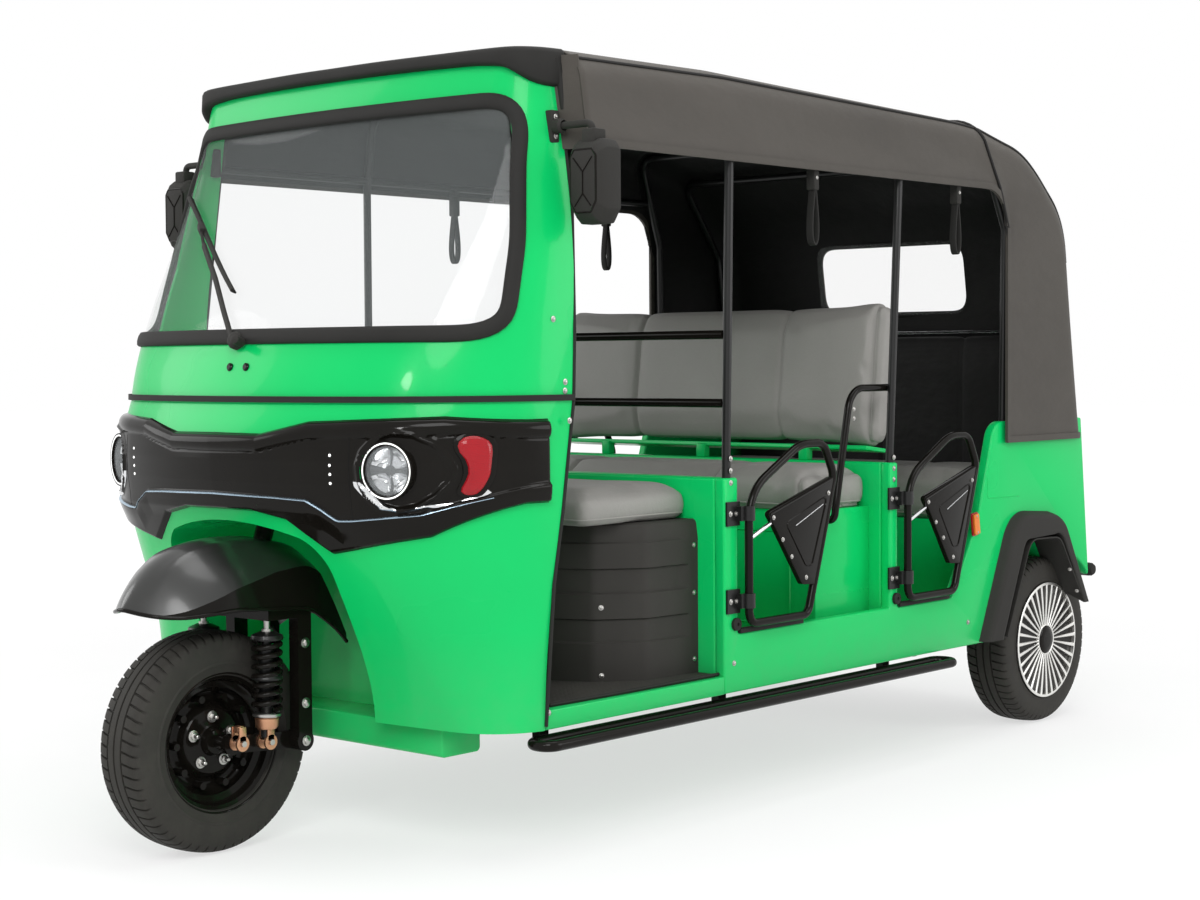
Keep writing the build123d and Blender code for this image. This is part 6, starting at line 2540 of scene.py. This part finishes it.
def swell(pad, limit, low, high):
    """Blows the pad up a little as cloth, then holds every point inside its space."""
    scene = bpy.context.scene
    mesh = pad.modifiers.new("even mesh", "REMESH")
    mesh.mode = "VOXEL"
    mesh.voxel_size = VOXEL
    settle(pad)
    rest = [v.co.copy() for v in pad.data.vertices]
    cloth = pad.modifiers.new("swell", "CLOTH")
    cloth.settings.use_pressure = True
    cloth.settings.uniform_pressure_force = PRESSURE
    cloth.settings.effector_weights.gravity = 0
    cloth.point_cache.frame_start = 1
    cloth.point_cache.frame_end = FRAMES
    for number in range(1, FRAMES + 1):
        scene.frame_set(number)
    blown = pad.evaluated_get(bpy.context.evaluated_depsgraph_get()).to_mesh()
    moved = [v.co.copy() for v in blown.vertices]
    pad.modifiers.clear()
    scene.frame_set(1)
    spots = []
    for start, end in zip(rest, moved):
        step = end - start
        spots.append(start + step * min(1.0, limit / max(1e-9, step.length)))
    middle, half = (high + low) / 2, (high - low) / 2
    spread = [half[k] / max(abs(p[k] - middle[k]) for p in spots) for k in (0, 1)]
    foot = max(low.z, min(p.z for p in spots))
    rise = (high.z - low.z) / (max(p.z for p in spots) - foot)
    for vertex, spot in zip(pad.data.vertices, spots):
        x, y = (middle[k] + (spot[k] - middle[k]) * spread[k] for k in (0, 1))
        vertex.co = (x, y, max(low.z, low.z + (spot.z - foot) * rise))
    fine = pad.modifiers.new("fine", "SUBSURF")
    fine.levels = fine.render_levels = 1
    settle(pad)


def dome(rest, low, high):
    """Quick stand-in for the swelling."""
    middle = (Vector(low) + Vector(high)) / 2
    half = (Vector(high) - Vector(low)) / 2
    moved = []
    for p in rest:
        u = [(p[k] - middle[k]) / half[k] for k in range(3)]
        lift = 0.012 * (1 - u[0] ** 4) * (1 - u[1] ** 4) * (1 if u[2] > 0 else 0)
        moved.append(p + Vector((0, 0, lift)))
    return moved


def sew(pad, places, depth, flat_side):
    """Presses channels into a pad at places along X, but not where flat_side(point) is true."""
    mesh = pad.data
    bm = bmesh.new()
    bm.from_mesh(mesh)
    normal = Vector((1, 0, 0))
    for place in places:
        for step in SEAM_CUTS:
            parts = bm.verts[:] + bm.edges[:] + bm.faces[:]
            spot = normal * place + normal * step
            bmesh.ops.bisect_plane(bm, geom=parts, plane_co=spot, plane_no=normal, dist=1e-5)
    bm.normal_update()
    moves = []
    for v in bm.verts:
        if flat_side(v.co):
            continue
        sunk = 0.0
        for place in places:
            off = v.co.x - place
            channel = depth * math.exp(-((off / CHANNEL_REACH) ** 2))
            sunk = max(sunk, channel + depth * 0.5 * math.exp(-((off / DIP_REACH) ** 2)))
        if sunk > 1e-5:
            moves.append((v, v.normal * -sunk))
    for v, step in moves:
        v.co += step
    bm.to_mesh(mesh)
    bm.free()
    smooth(mesh, 60)


def stitches(pad, low, high, places, turns, closed=False):
    """Sewn lines where looks from the pad's middle, turned about X, meet its skin."""
    grid = tree_of(pad)
    made = Shape()
    for place in places:
        centre = (low + high) / 2
        centre.x = place
        met = [grid.ray_cast(centre, Vector((0, -math.cos(a), math.sin(a))))[0] for a in turns]
        points = [spot for spot in met if spot]
        made.take(sweep(points, THREAD, closed=closed, up=(1, 0, 0)))
    return made


class RickshawSeats(bpy.types.Operator):
    """Blows up the padded cushions and sews their seams."""

    bl_idname = "rickshaw.seats"
    bl_label = "Seats"

    def execute(self, context):
        sizes = context.scene.rickshaw_sizes
        for node, low, high, edge, seams, end in PADS:
            self.cushion(sizes, node, at(*low), at(*high), edge, seams, end)
        self.reclined(sizes)
        self.rear_curtain_pad(sizes)
        return {"FINISHED"}

    def cushion(self, sizes, node, low, high, edge, seams, end):
        shrink = Vector((0.004, 0.004, 0.0))
        top = Vector(high) - shrink - Vector((0, 0, 0.012))
        pad = piece(f"{node}_pad", pad_blank(low + shrink, top, edge), "seat_vinyl", hides=(node,))
        swell(pad, sizes.cushion_swell, low, high)
        ends = (end, -end) if end else ()
        places = (*seams, *ends)
        sew(pad, places, sizes.seam_depth, lambda p: p.z < low.z + 0.004)
        welt = self.welt(pad, low, high)
        over_top = [math.pi * (-0.02 + 1.04 * i / 72) for i in range(73)]
        threads = stitches(pad, low, high, places, over_top)
        piece(f"{node}_seams", threads.take(welt), "seat_vinyl")

    def welt(self, pad, low, high):
        """Piping round the pad a little above its foot."""
        grid = tree_of(pad)
        z = low.z + WELT_HEIGHT
        out, inset = Vector((0.02, 0.02, 0)), 0.06
        (left, front, _), (right, back, _) = low - out, high + out
        line = rounded([(left, front), (right, front), (right, back), (left, back)], 0.06)
        points = []
        for p in spaced([Vector((u, v, z)) for u, v in line] + [Vector((*line[0], z))], 220)[:-1]:
            x = min(high.x - inset, max(low.x + inset, p.x))
            inner = Vector((x, min(high.y - inset, max(low.y + inset, p.y)), z))
            spot, _, _, _ = grid.ray_cast(p, (inner - p).normalized())
            if spot:
                points.append(spot)
        return sweep(points, circle(0.0026, 6), closed=True)

    def reclined(self, sizes):
        half, tall, thick = BACK_PAD["half"], BACK_PAD["height"], BACK_PAD["thick"]
        lean = Matrix.Rotation(math.radians(-BACK_PAD["recline"]), 4, "X")
        place = Matrix.Translation(at(*BACK_PAD["origin"])) @ lean
        low, high = Vector((-half, 0, 0)), Vector((half, thick, tall))
        blank = pad_blank(
            low + Vector((0.010, 0.012, 0.008)), high - Vector((0.010, 0.002, 0.008)), 0.040
        )
        pad = piece("mid_seat_back_pad", blank, "seat_vinyl", hides=("mid_seat_back",))
        swell(pad, sizes.cushion_swell, low, high)
        sew(pad, BACK_SEAMS, sizes.seam_depth, lambda p: False)
        whole_turn = [2 * math.pi * i / 120 for i in range(120)]
        threads = stitches(pad, low, high, BACK_SEAMS, whole_turn, closed=True)
        stitched = piece("mid_seat_back_seams", threads, "seat_vinyl")
        for obj in (pad, stitched):
            obj.data.transform(place)
            obj.data.update()

    def rear_curtain_pad(self, sizes):
        low, high = at(-0.600, 2.770, 0.640), at(0.600, 2.825, 1.195)
        blank = pad_blank(
            low + Vector((0.008, 0.008, 0.004)), high - Vector((0.008, 0.004, 0.008)), 0.020
        )
        pad = piece("rear_seat_back_pad", blank, "lining", hides=("rear_seat_back",))
        swell(pad, sizes.cushion_swell * 0.5, low, high)
        sew(pad, CURTAIN_SEAMS, sizes.seam_depth * 0.6, lambda p: p.y > high.y - 0.004)


# ---- stage ----
CAMERA_SPOT = (3.83596, -4.32130, 1.11660)
CAMERA_TURN, CAMERA_DIP, CAMERA_ROLL = 0.72432, 0.04231, 0.00681
LAMPS = [  # name, place, size, power, aimed at
    ("key softbox", (4.2, -4.8, 4.6), 3.2, 190.0, (0, -0.3, 0.8)),
    ("fill softbox", (-5.2, -4.0, 3.0), 4.0, 110.0, (0, 0, 0.9)),
    ("side softbox", (5.5, 2.6, 2.6), 3.4, 95.0, (0, 0.4, 0.7)),
    ("strip light", (2.2, -5.2, 2.6), 0.5, 26.0, (0, -1.4, 0.8)),
    ("top softbox", (0.4, 0.2, 5.6), 4.5, 130.0, (0, 0, 0)),
]


# the shown floor: least share of plain white, and the distances between which it fades to white
SHADOW_SHARE = 0.60
FLOOR_FADE = (2.6, 5.5)
FLOOR_REACH, FLOOR_DROP = 40.0, 0.0005
WHITE = (1.0, 1.0, 1.0)
FLOOR_GLOW, SKY_GLOW, SKY_LIGHT = 1.06, 1.0, 0.55
SENSOR_WIDTH, FOCAL_LENGTH = 36.0, 62.468


class RickshawStage(bpy.types.Operator):
    """Lays a pale floor, sets soft lamps and the camera."""

    bl_idname = "rickshaw.stage"
    bl_label = "Stage"

    def execute(self, context):
        scene = context.scene
        scene.view_settings.view_transform = "Standard"
        self.floor()
        self.sky(scene)
        for name, spot, size, power, aim in LAMPS:
            light = bpy.data.lights.new(name, "AREA")
            light.shape = "DISK"
            light.size = size
            light.energy = power
            lamp = added(name, light)
            lamp.location = spot
            lamp.rotation_euler = (Vector(aim) - Vector(spot)).to_track_quat("-Z", "Y").to_euler()
        self.camera(scene)
        return {"FINISHED"}

    def floor(self):
        mesh = bpy.data.meshes.new("floor")
        corners = [
            (x * FLOOR_REACH, y * FLOOR_REACH, -FLOOR_DROP)
            for x, y in ((-1, -1), (1, -1), (1, 1), (-1, 1))
        ]
        mesh.from_pydata(corners, [], [(0, 1, 2, 3)])
        floor = added("floor", mesh)
        made = Recipe("pale floor", Roughness=0.9, Specular_IOR_Level=0.1)
        grain = made.noise(3.0, 4)
        made.feed("Base Color", made.mix(grain, (0.86, 0.86, 0.86), (0.90, 0.90, 0.90)))
        seen = made.seen()
        apart = made.node(
            "ShaderNodeVectorMath", {"operation": "LENGTH"}, [made.spot], output="Value"
        )
        share = SHADOW_SHARE + (1 - SHADOW_SHARE) * made.ramp(apart, *FLOOR_FADE)
        glow = made.node("ShaderNodeEmission", inputs={"Color": WHITE, "Strength": FLOOR_GLOW})
        lit = Value(made, made.shader.outputs[0])
        made.end_in(seen * share, lit, glow, "Material Output")
        mesh.materials.append(made.material)

    def sky(self, scene):
        """White where it is seen, grey light where it isn't."""
        world = bpy.data.worlds.new("studio")
        scene.world = world
        world.use_nodes = True
        made = Nodes(world.node_tree)
        made.tree.nodes.remove(made.tree.nodes["Background"])
        light, white = (
            made.node("ShaderNodeBackground", inputs={"Color": WHITE, "Strength": strength})
            for strength in (SKY_LIGHT, SKY_GLOW)
        )
        made.end_in(made.seen(), light, white, "World Output")

    def camera(self, scene):
        data = bpy.data.cameras.new("camera")
        data.sensor_width = SENSOR_WIDTH
        data.lens = FOCAL_LENGTH
        camera = added("camera", data)
        turn, dip, roll = CAMERA_TURN, CAMERA_DIP, CAMERA_ROLL
        look = Vector(
            (-math.sin(turn) * math.cos(dip), math.cos(turn) * math.cos(dip), -math.sin(dip))
        )
        right = Vector((math.cos(turn), math.sin(turn), 0))
        up = right.cross(look)
        x = right * math.cos(roll) - up * math.sin(roll)
        y = right * math.sin(roll) + up * math.cos(roll)
        turned = Matrix((x, y, -look)).transposed().to_4x4()
        camera.matrix_world = Matrix.Translation(Vector(CAMERA_SPOT)) @ turned
        scene.camera = camera


# ---------------------------------------------------------------- panel and registration

OPERATORS = [
    RickshawFinishes,
    RickshawStage,
    RickshawTyres,
    RickshawFrontWheel,
    RickshawWheelCovers,
    RickshawMask,
    RickshawLamps,
    RickshawMudguard,
    RickshawSuspension,
    RickshawDriverPlace,
    RickshawDoors,
    RickshawBodywork,
    RickshawFixings,
    RickshawMirrors,
    RickshawStraps,
    RickshawScreenTrim,
    RickshawNoseTrim,
    RickshawSoftTop,
    RickshawSeats,
]


class RickshawPanel(bpy.types.Panel):
    """Lists the dressing's sizes, colours and steps."""

    bl_idname = "VIEW3D_PT_rickshaw"
    bl_label = "Rickshaw"
    bl_space_type = "VIEW_3D"
    bl_region_type = "UI"
    bl_category = "Rickshaw"

    def draw(self, context):
        column = self.layout.column()
        for group in (context.scene.rickshaw_sizes, context.scene.rickshaw_colours):
            for label in type(group).__annotations__:
                column.prop(group, label)
        for step in OPERATORS:
            column.operator(step.bl_idname)


CLASSES = [RickshawSizes, RickshawColours, *OPERATORS, RickshawPanel]


def register():
    for made in CLASSES:
        bpy.utils.register_class(made)
    bpy.types.Scene.rickshaw_sizes = PointerProperty(type=RickshawSizes)
    bpy.types.Scene.rickshaw_colours = PointerProperty(type=RickshawColours)


def unregister():
    del bpy.types.Scene.rickshaw_colours
    del bpy.types.Scene.rickshaw_sizes
    for made in reversed(CLASSES):
        bpy.utils.unregister_class(made)


def main():
    register()
    for step in OPERATORS:
        group, name = step.bl_idname.split(".")
        getattr(getattr(bpy.ops, group), name)()


if __name__ == "__main__":
    main()
